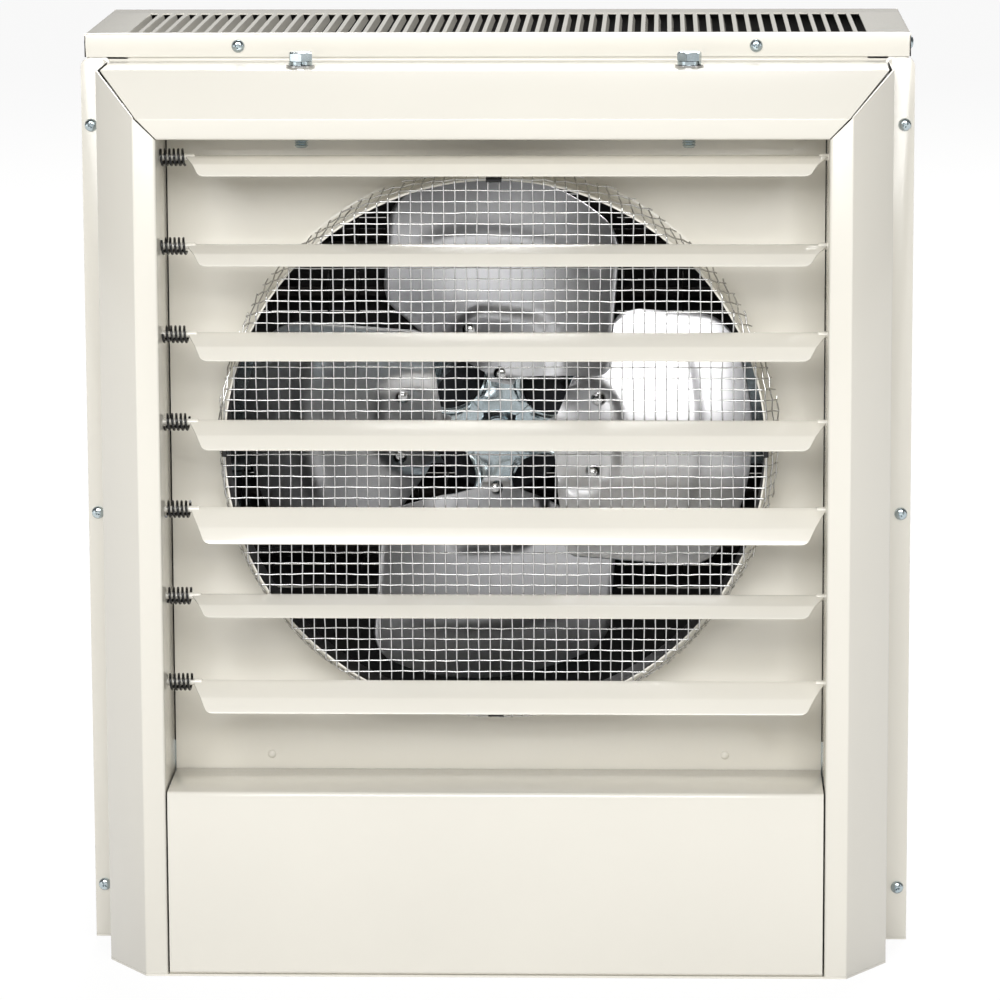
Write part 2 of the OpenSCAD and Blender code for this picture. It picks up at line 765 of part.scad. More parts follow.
clip_w = 9;
clip_t = 0.8;
clip_len = 13;
clip_fit = 0.1;
weave_gap = 0.1;
upright_d1 = rim_d - guard_wire - weave_gap;
guard_r = collar_r + sheet;
guard_bars = floor((collar_r - clip_t - clip_fit - guard_wire) / guard_pitch);

// Half length of the wire at a distance from the middle
function guard_half(w) = sqrt(guard_r * guard_r - pow(abs(w) + guard_wire / 2, 2));

module wire_guard() {
    color(bright_zinc) at_front() for (i = [-guard_bars:guard_bars]) {
        w = i * guard_pitch;
        block([-guard_half(w), guard_half(w)], [rim_d - guard_wire, rim_d],
            [fan_z + w - guard_wire / 2, fan_z + w + guard_wire / 2]);
        block([w - guard_wire / 2, w + guard_wire / 2], [upright_d1 - guard_wire, upright_d1],
            [fan_z - guard_half(w), fan_z + guard_half(w)]);
    }
}

// Guard clips: a channel pushed over the rim and over the middle wires' ends

module guard_clip(web_d) {
    difference() {
        block([collar_r - clip_t - clip_fit, collar_r + sheet + clip_t + clip_fit],
            [-clip_w / 2, clip_w / 2], [web_d - clip_t, web_d - clip_t + clip_len]);
        block([collar_r - clip_fit, collar_r + sheet + clip_fit],
            [-clip_w / 2 - over, clip_w / 2 + over], [web_d, web_d + clip_len]);
        block([collar_r - clip_t - clip_fit - over, collar_r],
            [-guard_wire / 2 - clip_fit, guard_wire / 2 + clip_fit], [web_d, rim_d]);
    }
}

module guard_clips() {
    color(spring_black) at_front() for (a = [0:90:270])
        on_fan_axis(0) rotate([0, 0, a]) guard_clip(a % 180 == 0 ? rim_d - guard_wire : upright_d1 - guard_wire);
}

// Fan: a hub and a four-arm spider with pitched pads, and a riveted blade on each pad

hub_front = 10;
hub_back = 14;
hub_fit = 0.02;
set_screw_r = 2.5;
blade_root_x = 28;
rivet_in_x = 34;
rivet_out_x = 57;
rivet_out_w = 20.5;
pad_end_x = 66;
pad_half_w = 27;
neck_half_w = 11.5;
twist_start_x = 13;
twist_end_x = 33;
arm_cut_r = 16.5;
arm_cut_x = 39.6;
rivet_r = 2.4;
rivet_head_r = 4.6;
rivet_head_h = 1.8;
rivet_fit = 0.05;

// Places along an arm, as distance from the axis
twist_shares = [0, 0.2, 0.4, 0.6, 0.8, 1];
pad_shares = [0.2, 0.5, 0.75, 1];
arm_steps = concat([0], [for (s = twist_shares) twist_start_x + s * (twist_end_x - twist_start_x)],
    [for (s = pad_shares) twist_end_x + s * (pad_end_x - twist_end_x)]);
pad_end_share = 0.86;

// Half width of an arm, cut by the round notches between the arms and flared at the pad
function notch_w(u) = let (c = arm_cut_x * sin(45), h = abs(u - c))
    h < arm_cut_r ? c - sqrt(arm_cut_r * arm_cut_r - h * h) : c;
function arm_half(u) = u < hub_r ? max(u, spider_t) :
    min(notch_w(u), u < rivet_out_x ? pad_half_w : pad_half_w * pad_end_share);
function arm_twist(u) = blade_pitch * min(max((u - twist_start_x) / (twist_end_x - twist_start_x), 0), 1);

// Points of an arm: at each step a thin bar turned about the arm
function arm_bar(u) = let (w = arm_half(u), a = arm_twist(u))
    [for (c = [[-w, 0], [w, 0], [w, spider_t], [-w, spider_t]])
        [u, c[0] * cos(a) + c[1] * sin(a), -c[0] * sin(a) + c[1] * cos(a)]];

module spider_arm() {
    wire_skin([for (u = arm_steps) arm_bar(u)], 4);
}

// Children placed on a pad: x along the arm, y across it and z to the back
module on_arm(i) {
    on_fan_axis(fan_d) rotate([0, 0, 90 * i - 90 + fan_turn]) children();
}

module on_pad(i) {
    on_arm(i) rotate([-blade_pitch, 0, 0]) children();
}

module rivet_places() {
    translate([rivet_in_x, 0, 0]) children();
    translate([rivet_out_x, rivet_out_w, 0]) children();
    translate([rivet_out_x, -rivet_out_w, 0]) children();
}

module fan_hub() {
    color(zinc) at_front() difference() {
        on_fan_axis(fan_d - hub_front) cylinder(h = hub_front + hub_back, r = hub_r, $fn = round_fn);
        on_fan_axis(fan_d - hub_front - over)
            cylinder(h = hub_front + hub_back + 2 * over, r = shaft_r + hub_fit, $fn = round_fn);
        rod_z(fan_z, fan_z + hub_r + over, 0, fan_d + hub_back - 2 * set_screw_r, set_screw_r);
    }
}

module fan_spider() {
    color(zinc) at_front() difference() {
        for (i = [0:3]) on_arm(i) spider_arm();
        on_fan_axis(fan_d - over) cylinder(h = spider_t + 2 * over, r = hub_r + hub_fit, $fn = round_fn);
        for (i = [0:3]) on_pad(i) rivet_places() translate([0, 0, -over])
            cylinder(h = spider_t + 2 * over, r = rivet_r + rivet_fit, $fn = small_fn);
    }
}

// Outline of a blade: a tab at its root, a swept rear shoulder, a square front shoulder and a tip on the fan's circle
blade_tab_w = 8;
blade_shoulder_x = 33.5;
rear_shoulder_shares = [[0.275, 0.23], [0.356, 0.38], [0.443, 0.503], [0.51, 0.523]];
front_shoulder_shares = [[0.292, 0.47], [0.306, 0.503], [0.336, 0.523]];
blade_width_share = 0.523;
blade_corner_share = 0.08;
blade_edge_share = 0.772;
blade_half_w = fan_r * blade_width_share;
blade_corner_r = fan_r * blade_corner_share;
blade_edge_x = fan_r * blade_edge_share;
rivet_seat_gap = 0.1;

module blade_outline() {
    intersection() {
        circle(r = fan_r, $fn = big_fn);
        union() {
            polygon(concat([[blade_root_x, -blade_tab_w], [blade_shoulder_x, -blade_tab_w - 2 * blade_t]],
                [for (p = rear_shoulder_shares) [fan_r * p[0], -fan_r * p[1]]],
                [[blade_edge_x, -blade_half_w], [blade_edge_x, blade_half_w]],
                [for (i = [len(front_shoulder_shares) - 1:-1:0]) fan_r * front_shoulder_shares[i]],
                [[blade_shoulder_x, blade_tab_w + 2 * blade_t], [blade_root_x, blade_tab_w]]));
            translate([blade_edge_x - over, -blade_half_w + blade_corner_r])
                square([fan_r - blade_edge_x + over, 2 * (blade_half_w - blade_corner_r)]);
            for (s = [-1, 1]) translate([blade_edge_x, s * (blade_half_w - blade_corner_r)])
                circle(r = blade_corner_r, $fn = round_fn);
        }
    }
}

// A blade curved about a line along the arm, with its hollow side to the front
module fan_blade(i) {
    color(aluminium) at_front() on_pad(i) translate([0, 0, -rivet_seat_gap]) difference() {
        intersection() {
            translate([0, 0, -camber_r / 4]) linear_extrude(camber_r / 2) blade_outline();
            translate([0, 0, -camber_r]) rotate([0, 90, 0]) cylinder(h = fan_r, r = camber_r, $fn = big_fn);
        }
        translate([-over, 0, -camber_r]) rotate([0, 90, 0])
            cylinder(h = fan_r + 2 * over, r = camber_r - blade_t, $fn = big_fn);
        rivet_places() translate([0, 0, -camber_r / 4])
            cylinder(h = camber_r / 2, r = rivet_r + rivet_fit, $fn = small_fn);
    }
}

module fan_blade_1() { fan_blade(0); }
module fan_blade_2() { fan_blade(1); }
module fan_blade_3() { fan_blade(2); }
module fan_blade_4() { fan_blade(3); }

// A rivet: the head on the blade's front, the shank through both and the upset tail behind
module rivet(rise) {
    translate([0, 0, -rise - blade_t - rivet_head_h])
        cylinder(h = rivet_head_h, r1 = rivet_r, r2 = rivet_head_r, $fn = small_fn);
    translate([0, 0, -rise - blade_t])
        cylinder(h = rise + blade_t + spider_t + rivet_head_h, r = rivet_r, $fn = small_fn);
    translate([0, 0, spider_t]) cylinder(h = rivet_head_h, r = rivet_head_r, $fn = small_fn);
}

rivet_rise = camber_r - sqrt(camber_r * camber_r - pow(rivet_out_w + rivet_head_r, 2));

module fan_rivets() {
    color(bright_zinc) at_front() for (i = [0:3]) on_pad(i) {
        translate([rivet_in_x, 0, 0]) rivet(2 * rivet_seat_gap);
        for (s = [-1, 1]) translate([rivet_out_x, s * rivet_out_w, 0]) rivet(rivet_rise + rivet_seat_gap);
    }
}

// Motor

motor_wall = 1.6;
motor_cap_t = 2.5;
bracket_t = 2;
bracket_gap = 15.5;
element_d = back_d0 - element_gap;
bracket_d0 = element_d - fin_r - bracket_gap;
motor_front_d = fan_d + motor_gap;
motor_len = bracket_d0 - motor_cap_t - motor_front_d;
motor_boss_r = 14;
motor_boss_h = 4;
bearing_r = 11;
bearing_share = 0.11;
bearing_h = motor_len * bearing_share;
stator_r_in = 22.4;
rotor_air = 0.5;
stator_share = 0.47;
stator_len = motor_len * stator_share;
winding_share = 0.15;
winding_h = motor_len * winding_share;
winding_gap = 2;
winding_w = 11;
motor_back_d = motor_front_d + motor_len;
stator_d0 = motor_front_d + (motor_len - stator_len) / 2;
shaft_inset = 2;
shaft_front_d = fan_d - hub_front + shaft_inset;
shaft_end_gap = 0.4;
shaft_back_d = motor_back_d - shaft_end_gap;
motor_stud_r = 2;
motor_stud_pcd_r = 34;

module fan_shaft() {
    color(bright_zinc) at_front() on_fan_axis(shaft_front_d)
        cylinder(h = shaft_back_d - shaft_front_d, r = shaft_r, $fn = round_fn);
}

module motor_rotor() {
    color(dark_steel) at_front() difference() {
        on_fan_axis(stator_d0) cylinder(h = stator_len, r = stator_r_in - rotor_air, $fn = round_fn);
        on_fan_axis(stator_d0 - over)
            cylinder(h = stator_len + 2 * over, r = shaft_r + hub_fit, $fn = round_fn);
    }
}

module motor_ring(d0, h, r_in, r_out, fn = round_fn) {
    difference() {
        on_fan_axis(d0) cylinder(h = h, r = r_out, $fn = fn);
        on_fan_axis(d0 - over) cylinder(h = h + 2 * over, r = r_in, $fn = fn);
    }
}

module motor_stator() {
    color(dark_steel) at_front() motor_ring(stator_d0, stator_len, stator_r_in, motor_r - motor_wall);
}

module motor_windings() {
    color(copper) at_front() for (d = [stator_d0 - winding_h, stator_d0 + stator_len])
        motor_ring(d, winding_h, stator_r_in + winding_gap, stator_r_in + winding_gap + winding_w);
}

module motor_bearings() {
    color(bright_zinc) at_front() for (d = [motor_front_d + motor_wall, motor_back_d - bearing_h])
        motor_ring(d, bearing_h, shaft_r + shaft_fit, bearing_r);
}

module motor_shell() {
    color(dark_steel) at_front() difference() {
        union() {
            on_fan_axis(motor_front_d) cylinder(h = motor_len, r = motor_r, $fn = round_fn);
            on_fan_axis(motor_front_d - motor_boss_h)
                cylinder(h = motor_boss_h, r = motor_boss_r, $fn = round_fn);
        }
        difference() {
            on_fan_axis(motor_front_d + motor_wall)
                cylinder(h = motor_len, r = motor_r - motor_wall, $fn = round_fn);
            motor_ring(motor_front_d, bearing_h + motor_wall, bearing_r, motor_boss_r);
        }
        on_fan_axis(motor_front_d - motor_boss_h - over)
            cylinder(h = motor_boss_h + motor_wall + 2 * over, r = shaft_r + loose, $fn = round_fn);
    }
}

module motor_cap() {
    color(dark_steel) at_front() difference() {
        union() {
            on_fan_axis(motor_back_d) cylinder(h = motor_cap_t, r = motor_r, $fn = round_fn);
            motor_ring(motor_back_d - bearing_h, bearing_h + over, bearing_r, motor_boss_r);
        }
        for (a = [45:90:315]) on_fan_axis(motor_back_d - over) rotate([0, 0, a])
            translate([motor_stud_pcd_r, 0, 0])
                cylinder(h = motor_cap_t + 2 * over, r = motor_stud_r + hub_fit, $fn = small_fn);
    }
}

// Motor bracket: a strap across the cabinet with a flange on each side panel

bracket_plate_h = 76;
grommet_r = 3.2;
bracket_screw_d = bracket_d0 + bracket_t + bracket_flange_w / 2;
bracket_path = [[-side_half + sheet, bracket_d0 + bracket_flange_w], [-side_half + sheet, bracket_d0],
    [side_half - sheet, bracket_d0], [side_half - sheet, bracket_d0 + bracket_flange_w]];

module motor_bracket() {
    color(zinc) at_front() difference() {
        upright(fan_z - bracket_plate_h / 2, fan_z + bracket_plate_h / 2)
            polygon(sheet_outline(bracket_path, bracket_t, bend_r));
        for (a = [45:90:315]) on_fan_axis(bracket_d0 - over) rotate([0, 0, a])
            translate([motor_stud_pcd_r, 0, 0])
                cylinder(h = bracket_t + 2 * over, r = motor_stud_r + hub_fit, $fn = small_fn);
        for (z = bracket_screw_z)
            rod_x(-side_half - over, side_half + over, bracket_screw_d, z, screw_hole_r);
        rod_d(bracket_d0 - over, bracket_d0 + bracket_t + over,
            heater_wire_x, fan_z - leg_pitch / 2, grommet_r);
    }
}

module motor_screws() {
    color(bright_zinc) at_front() for (a = [45:90:315]) on_fan_axis(bracket_d0 + bracket_t)
        rotate([0, 0, a]) translate([motor_stud_pcd_r, 0, 0]) pan_screw(bracket_t + motor_cap_t);
}

// Heating elements: two finned legs joined by a bend, with terminals at the right

element_count = 3;
bend_end_inset = 61.6;
terminal_end_inset = 23.6;
leg_x0 = -side_half + bend_end_inset;
leg_x1 = side_half - terminal_end_inset;
fin_t_el = 0.8;
fin_sides = 8;
terminal_r = 2.2;
terminal_len = 14;
holder_inset = 4;
plate_inset = 8;
fins_x0 = leg_x0 + fin_r;
fins_x1 = leg_x1 - 2 * plate_inset;

module element(z) {
    color(sheath) at_front() {
        for (s = [-1, 1]) {
            rod_x(leg_x0, leg_x1, element_d, z + s * leg_pitch / 2, element_r);
            rod_x(leg_x1, leg_x1 + terminal_len, element_d, z + s * leg_pitch / 2, terminal_r);
            for (x = [fins_x0:fin_pitch:fins_x1])
                rod_x(x, x + fin_t_el, element_d, z + s * leg_pitch / 2, fin_r, fin_sides);
        }
        translate([leg_x0, element_d, z]) rotate([90, 0, 0]) rotate([0, 0, 90])
            rotate_extrude(angle = 180, $fn = round_fn)
                translate([leg_pitch / 2, 0]) circle(r = element_r, $fn = small_fn);
    }
}

module heating_element_1() { element(fan_z - element_pitch); }
module heating_element_2() { element(fan_z); }
module heating_element_3() { element(fan_z + element_pitch); }

// Plates that hold the elements, each with a flange on the back panel

plate_t = 1.2;
plate_x = leg_x1 - plate_inset;
support_x = leg_x0 + holder_inset;
plate_half_h = element_count / 2 * element_pitch - holder_inset;
plate_d0 = element_d - fin_r;
plate_flange_w = 12;
element_screw_x = [support_x + plate_flange_w / 2, plate_x - plate_flange_w / 2];
element_flange_rise = floor((plate_half_h - plate_inset) / intake_pitch) * intake_pitch;
element_flange_z = [fan_z - element_flange_rise, fan_z + element_flange_rise];
insulator_r = 6;
insulator_len = 5;
plate_hole_fit = 0.15;

module element_holder(x, side, hole_r) {
    difference() {
        union() {
            block([x, x + plate_t], [plate_d0, back_d0], [fan_z - plate_half_h, fan_z + plate_half_h]);
            block([min(x, x + side * plate_flange_w), max(x, x + side * plate_flange_w) + plate_t],
                [back_d0 - plate_t, back_d0], [fan_z - plate_half_h, fan_z + plate_half_h]);
        }
        for (k = [-1:1]) for (s = [-1, 1])
            rod_x(x - over, x + plate_t + over,
                element_d, fan_z + k * element_pitch + s * leg_pitch / 2, hole_r);
        for (z = element_flange_z)
            rod_d(back_d0 - plate_t - over, back_d0 + over, x + side * plate_flange_w / 2, z, screw_hole_r);
    }
}

module element_plate() {
    color(zinc) at_front() element_holder(plate_x, -1, element_r + plate_hole_fit);
}

module element_support() {
    color(zinc) at_front() element_holder(support_x, 1, element_r + plate_hole_fit);
}

module terminal_insulators() {
    color(ceramic) at_front() for (k = [-1:1]) for (s = [-1, 1]) {
        z = fan_z + k * element_pitch + s * leg_pitch / 2;
        difference() {
            rod_x(leg_x1, leg_x1 + insulator_len, element_d, z, insulator_r);
            rod_x(leg_x1 - over, leg_x1 + insulator_len + over, element_d, z, terminal_r + hub_fit);
        }
    }
}

// Limit switch: a disc thermostat on the back of the baffle

limit_inset = 39.9;
limit_drop = 16.7;
limit_x = opening_half - limit_inset;
limit_z = opening_z1 - limit_drop;
limit_r = 9;
limit_h = 12;
limit_ear = 14;
limit_ear_r = 4.5;
limit_ear_t = 1;
limit_screw_x = [limit_x - limit_ear, limit_x + limit_ear];

module limit_switch() {
    color(black_plastic) at_front() difference() {
        union() {
            rod_d(baffle_d1, baffle_d1 + limit_h, limit_x, limit_z, limit_r, round_fn);
            block([limit_x - limit_ear, limit_x + limit_ear], [baffle_d1, baffle_d1 + limit_ear_t],
                [limit_z - limit_ear_r, limit_z + limit_ear_r]);
            for (x = limit_screw_x)
                rod_d(baffle_d1, baffle_d1 + limit_ear_t, x, limit_z, limit_ear_r);
        }
        for (x = limit_screw_x)
            rod_d(baffle_d1 - over, baffle_d1 + 2 * over, x, limit_z, screw_hole_r);
    }
}

// Controls on the bottom pan

floor_z = sheet;
controls_gap = 14;
contactor_share = -0.26;
contactor_x = side_half * contactor_share;
contactor_w = 56;
contactor_d0 = shelf_notch_d + controls_gap;
contactor_dd = 62;
wire_room = 30;
contactor_top = shelf_z1 - wire_room;
cheek_share = 0.32;
cheek_h = (contactor_top - floor_z) * cheek_share;
contactor_h = contactor_top - floor_z - cheek_h;
cheek_w = 10;
armature_h = 12;
armature_travel = 3;
armature_stem = 8;
armature_fit = 0.3;

module contactor_base() {
    color(black_plastic) at_front() difference() {
        block([contactor_x, contactor_x + contactor_w], [contactor_d0, contactor_d0 + contactor_dd],
            [floor_z, floor_z + contactor_h + cheek_h]);
        block([contactor_x + cheek_w, contactor_x + contactor_w - cheek_w],
            [contactor_d0 - over, contactor_d0 + contactor_dd + over],
            [floor_z + contactor_h, floor_z + contactor_h + cheek_h + over]);
        block([contactor_x + contactor_w / 2 - armature_stem, contactor_x + contactor_w / 2 + armature_stem],
            [contactor_d0 + contactor_dd / 2 - armature_stem, contactor_d0 + contactor_dd / 2 + armature_stem],
            [floor_z + contactor_h / 2, floor_z + contactor_h + over]);
    }
}

module contactor_armature() {
    color(ceramic) at_front() {
        block([contactor_x + cheek_w + armature_fit, contactor_x + contactor_w - cheek_w - armature_fit],
            [contactor_d0 + armature_fit, contactor_d0 + contactor_dd - armature_fit],
            [floor_z + contactor_h + armature_travel + armature_fit,
                floor_z + contactor_h + armature_travel + armature_fit + armature_h]);
        block([contactor_x + contactor_w / 2 - armature_stem + armature_fit,
                contactor_x + contactor_w / 2 + armature_stem - armature_fit],
            [contactor_d0 + contactor_dd / 2 - armature_stem + armature_fit,
                contactor_d0 + contactor_dd / 2 + armature_stem - armature_fit],
            [floor_z + contactor_h - armature_h, floor_z + contactor_h + armature_travel + over]);
    }
}

transformer_share = 0.126;
transformer_x = side_half * transformer_share;
transformer_w = 66;
transformer_d0 = contactor_d0;
transformer_dd = 46;
transformer_h = 56;
lamination = 14;

module transformer_core() {
    color(dark_steel) at_front() difference() {
        block([transformer_x, transformer_x + transformer_w], [transformer_d0 + lamination,
            transformer_d0 + transformer_dd - lamination], [floor_z, floor_z + transformer_h]);
        for (w = [[lamination, (transformer_w - lamination) / 2],
                [(transformer_w + lamination) / 2, transformer_w - lamination]])
            block([transformer_x + w[0], transformer_x + w[1]],
                [transformer_d0, transformer_d0 + transformer_dd],
                [floor_z + lamination, floor_z + transformer_h - lamination]);
    }
}

module transformer_coil() {
    color(copper) at_front() difference() {
        block([transformer_x + lamination, transformer_x + transformer_w - lamination],
            [transformer_d0, transformer_d0 + transformer_dd],
            [floor_z + lamination, floor_z + transformer_h - lamination]);
        block([transformer_x + (transformer_w - lamination) / 2, transformer_x + (transformer_w + lamination) / 2],
            [transformer_d0 + lamination, transformer_d0 + transformer_dd - lamination],
            [floor_z, floor_z + transformer_h]);
    }
}

relay_share = 0.505;
relay_x = side_half * relay_share;
relay_w = 38;
relay_h = 44;
relay_tab_shares = [0.2, 0.5, 0.8];
relay_tab_w = 4.8;
relay_tab_h = 6;

module fan_relay() {
    color(black_plastic) at_front() {
        block([relay_x, relay_x + relay_w], [transformer_d0, transformer_d0 + relay_w],
            [floor_z, floor_z + relay_h]);
        for (s = relay_tab_shares)
            block([relay_x + relay_w * s, relay_x + relay_w * s + plate_t],
                [transformer_d0 + relay_w / 2, transformer_d0 + relay_w / 2 + relay_tab_w],
                [floor_z + relay_h, floor_z + relay_h + relay_tab_h]);
    }
}

block_share = -0.8;
block_x = side_half * block_share;
block_w = 92;
block_dd = 34;
block_h = 20;
barrier_h = 8;
barrier_t = 3;
poles = 4;

// Middle of a pole between two barriers
function block_pole_x(k) = block_x + barrier_t / 2 + (k + 0.5) * (block_w - barrier_t) / poles;

module terminal_block() {
    color(black_plastic) at_front() {
        block([block_x, block_x + block_w], [contactor_d0, contactor_d0 + block_dd],
            [floor_z, floor_z + block_h]);
        for (i = [0:poles])
            block([block_x, block_x + barrier_t] + i * (block_w - barrier_t) / poles * [1, 1],
                [contactor_d0, contactor_d0 + block_dd], [floor_z + block_h, floor_z + block_h + barrier_h]);
    }
}

lug_setback = 36;
lug_x = block_x + block_w / 2;
lug_d = contactor_d0 + block_dd + lug_setback;
lug_w = 10;
lug_h = 9;
lug_len = 18;
lug_bore_r = 2.25;

module ground_lug() {
    color(copper) at_front() difference() {
        block([lug_x, lug_x + lug_w], [lug_d, lug_d + lug_len], [floor_z, floor_z + lug_h]);
        rod_d(lug_d - over, lug_d + lug_len / 2, lug_x + lug_w / 2, floor_z + lug_h / 2, lug_bore_r);
    }
}

// Wires held all the way, each along its own route with rounded corners

wire_r = 1.6;
wire_bend = 10;
wire_steps = 3;

// A route with each corner rounded
function rounded(p, r) = let (n = len(p) - 1) concat([p[0]], [for (i = [1:1:n - 1])
    let (a = p[i] - r * unit(p[i] - p[i - 1]), b = p[i] + r * unit(p[i + 1] - p[i]))
    for (k = [0:wire_steps]) let (s = k / wire_steps)
        (1 - s) * (1 - s) * a + 2 * s * (1 - s) * p[i] + s * s * b], [p[n]]);

// A direction that no route runs along
wire_guide = [0.31, 0.52, 0.79];

module wire_along(route) {
    p = rounded(route, wire_bend);
    wire_skin([for (i = [0:len(p) - 1]) wire_ring(p, i, wire_r, wire_sides, wire_guide)], wire_sides);
}

wire_gap = 4;
wire_rise = 16;
wire_lead = 20;
wire_slope = 30;
wire_run = 50;
heater_wire_x = leg_x1 + terminal_len / 2 + insulator_len / 2;
wire_low_z = contactor_top + wire_rise;

module heater_wires() {
    color(wire_red) at_front() for (k = [-1:1]) {
        z = fan_z + k * element_pitch - leg_pitch / 2;
        d = wire_hole_d + k * wire_gap;
        wire_along([[heater_wire_x, element_d - terminal_r, z], [heater_wire_x, d, z],
            [wire_hole_x + k * wire_gap, d, z - wire_slope],
            [wire_hole_x + k * wire_gap, d, wire_low_z + k * wire_gap / 2],
            [contactor_x + contactor_w - cheek_w / 2, d, wire_low_z + k * wire_gap / 2],
            [contactor_x + contactor_w - cheek_w / 2, d, contactor_top]]);
    }
}

motor_wire_z = fan_z - motor_r;

module motor_wires() {
    color(black_plastic) at_front() for (k = [0:1])
        wire_along([[0, stator_d0 + k * wire_gap, motor_wire_z],
            [0, stator_d0 + k * wire_gap, motor_wire_z - wire_lead],
            [-wire_hole_x - k * wire_gap, wire_hole_d + k * wire_gap, motor_wire_z - wire_run],
            [-wire_hole_x - k * wire_gap, wire_hole_d + k * wire_gap, shelf_z1 - wire_lead],
            [block_pole_x(k), wire_hole_d + k * wire_gap, shelf_z1 - wire_slope],
            [block_pole_x(k), contactor_d0 + block_dd / 2, floor_z + block_h + barrier_h + wire_lead],
            [block_pole_x(k), contactor_d0 + block_dd / 2, floor_z + block_h]]);
}

// Hanging bolts through the top of the outlet frame

bolt_seat_z = frame_z1 + flat_washer_t + lock_washer_t;
bolt_len = bolt_seat_z - opening_z1 + bolt_tip;

module at_bolts(z) {
    at_front() both_sides() translate([bolt_x, bolt_d, z]) children();
}

module washer(h, r) {
    difference() {
        cylinder(h = h, r = r, $fn = round_fn);
        translate([0, 0, -over]) cylinder(h = h + 2 * over, r = bolt_r + washer_clear, $fn = round_fn);
    }
}

module hanging_bolts() {
    color(zinc) at_bolts(bolt_seat_z) {
        cylinder(h = bolt_head_h, r = nut_af / sqrt(3), $fn = 6);
        translate([0, 0, -bolt_len]) cylinder(h = bolt_len, r = bolt_r, $fn = round_fn);
    }
}

module lock_washers() {
    color(zinc) at_bolts(frame_z1 + flat_washer_t) washer(lock_washer_t, lock_washer_r);
}

module flat_washers() {
    color(bright_zinc) at_bolts(frame_z1) washer(flat_washer_t, flat_washer_r);
}

module weld_nuts() {
    color(zinc) at_bolts(frame_z1 - sheet - nut_h) difference() {
        cylinder(h = nut_h, r = nut_af / sqrt(3), $fn = 6);
        translate([0, 0, -over]) cylinder(h = nut_h + 2 * over, r = bolt_r + hub_fit, $fn = round_fn);
    }
}

// Pan-head screws of the cabinet

module facing_front(x, d, z) {
    translate([x, d, z]) rotate([90, 0, 0]) children();
}

module facing_back(x, d, z) {
    translate([x, d, z]) rotate([-90, 0, 0]) children();
}

module facing_out(x, d, z) {
    translate([x, d, z]) rotate([0, 90, 0]) children();
}

module pan_screws() {
    color(zinc) at_front() {
        both_sides() {
            for (z = flange_screw_z) facing_front(flange_screw_x, flange_d, z) pan_screw(2 * sheet + over);
            facing_front(lip_screw_x, flange_d, lip_screw_z) pan_screw();
            for (d = lip_side_screw_d) facing_out(cover_half, d, lip_screw_z) pan_screw();
            for (z = bracket_screw_z) facing_out(side_half, bracket_screw_d, z) pan_screw();
            facing_back(rear_lip_screw_x, case_d, lip_screw_z) pan_screw();
            for (z = back_screw_z) facing_back(back_screw_x, back_d1, z) pan_screw();
            facing_front(baffle_screw_x, recess_d, baffle_screw_z) pan_screw();
            for (z = baffle_side_z) facing_back(baffle_side_x, baffle_d1, z) pan_screw();
        }
        for (x = element_screw_x)
            for (z = element_flange_z) facing_back(x, back_d1, z) pan_screw();
        for (x = limit_screw_x) facing_back(x, baffle_d1 + limit_ear_t, limit_z) pan_screw(limit_ear_t + sheet);
    }
}

bottom_pan();
left_side_panel();
right_side_panel();
back_panel();
top_cover();
wiring_shelf();
fan_baffle();
frame_top();
frame_left();
frame_right();
access_panel();
louver_1();
louver_2();
louver_3();
louver_4();
louver_5();
louver_6();
louver_7();
louver_springs();
wire_guard();
guard_clips();
fan_hub();
fan_spider();
fan_blade_1();
fan_blade_2();
fan_blade_3();
fan_blade_4();
fan_rivets();
fan_shaft();
motor_rotor();
motor_stator();
motor_windings();
motor_bearings();
motor_shell();
motor_cap();
motor_bracket();
motor_screws();
heating_element_1();
heating_element_2();
heating_element_3();
element_plate();
element_support();
terminal_insulators();
limit_switch();
contactor_base();
contactor_armature();
transformer_core();
transformer_coil();
fan_relay();
terminal_block();
ground_lug();
heater_wires();
motor_wires();
knockout_plug();
hanging_bolts();
lock_washers();
flat_washers();
weld_nuts();
pan_screws();
panel_screws();
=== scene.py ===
"""Looks of an electric unit heater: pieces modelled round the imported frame, finishes and a plain stage."""

import json
import math
import random

import bmesh
import bpy
from bpy.props import FloatProperty, FloatVectorProperty, PointerProperty
from bpy.types import Operator, Panel, PropertyGroup
from mathutils import Matrix, Vector


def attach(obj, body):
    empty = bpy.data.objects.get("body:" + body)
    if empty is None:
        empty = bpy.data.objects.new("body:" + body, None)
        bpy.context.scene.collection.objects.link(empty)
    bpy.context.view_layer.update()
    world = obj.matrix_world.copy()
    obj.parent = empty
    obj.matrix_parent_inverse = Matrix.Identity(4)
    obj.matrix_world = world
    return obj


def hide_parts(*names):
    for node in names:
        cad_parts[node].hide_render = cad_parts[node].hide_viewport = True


bl_info = {
    "name": "Electric unit heater",
    "version": (1, 0, 0),
    "blender": (4, 5, 0),
    "location": "View3D > Sidebar > Unit heater",
    "description": "Models the visible pieces, finishes and stage of a unit heater round its packed frame",
    "category": "Object",
}

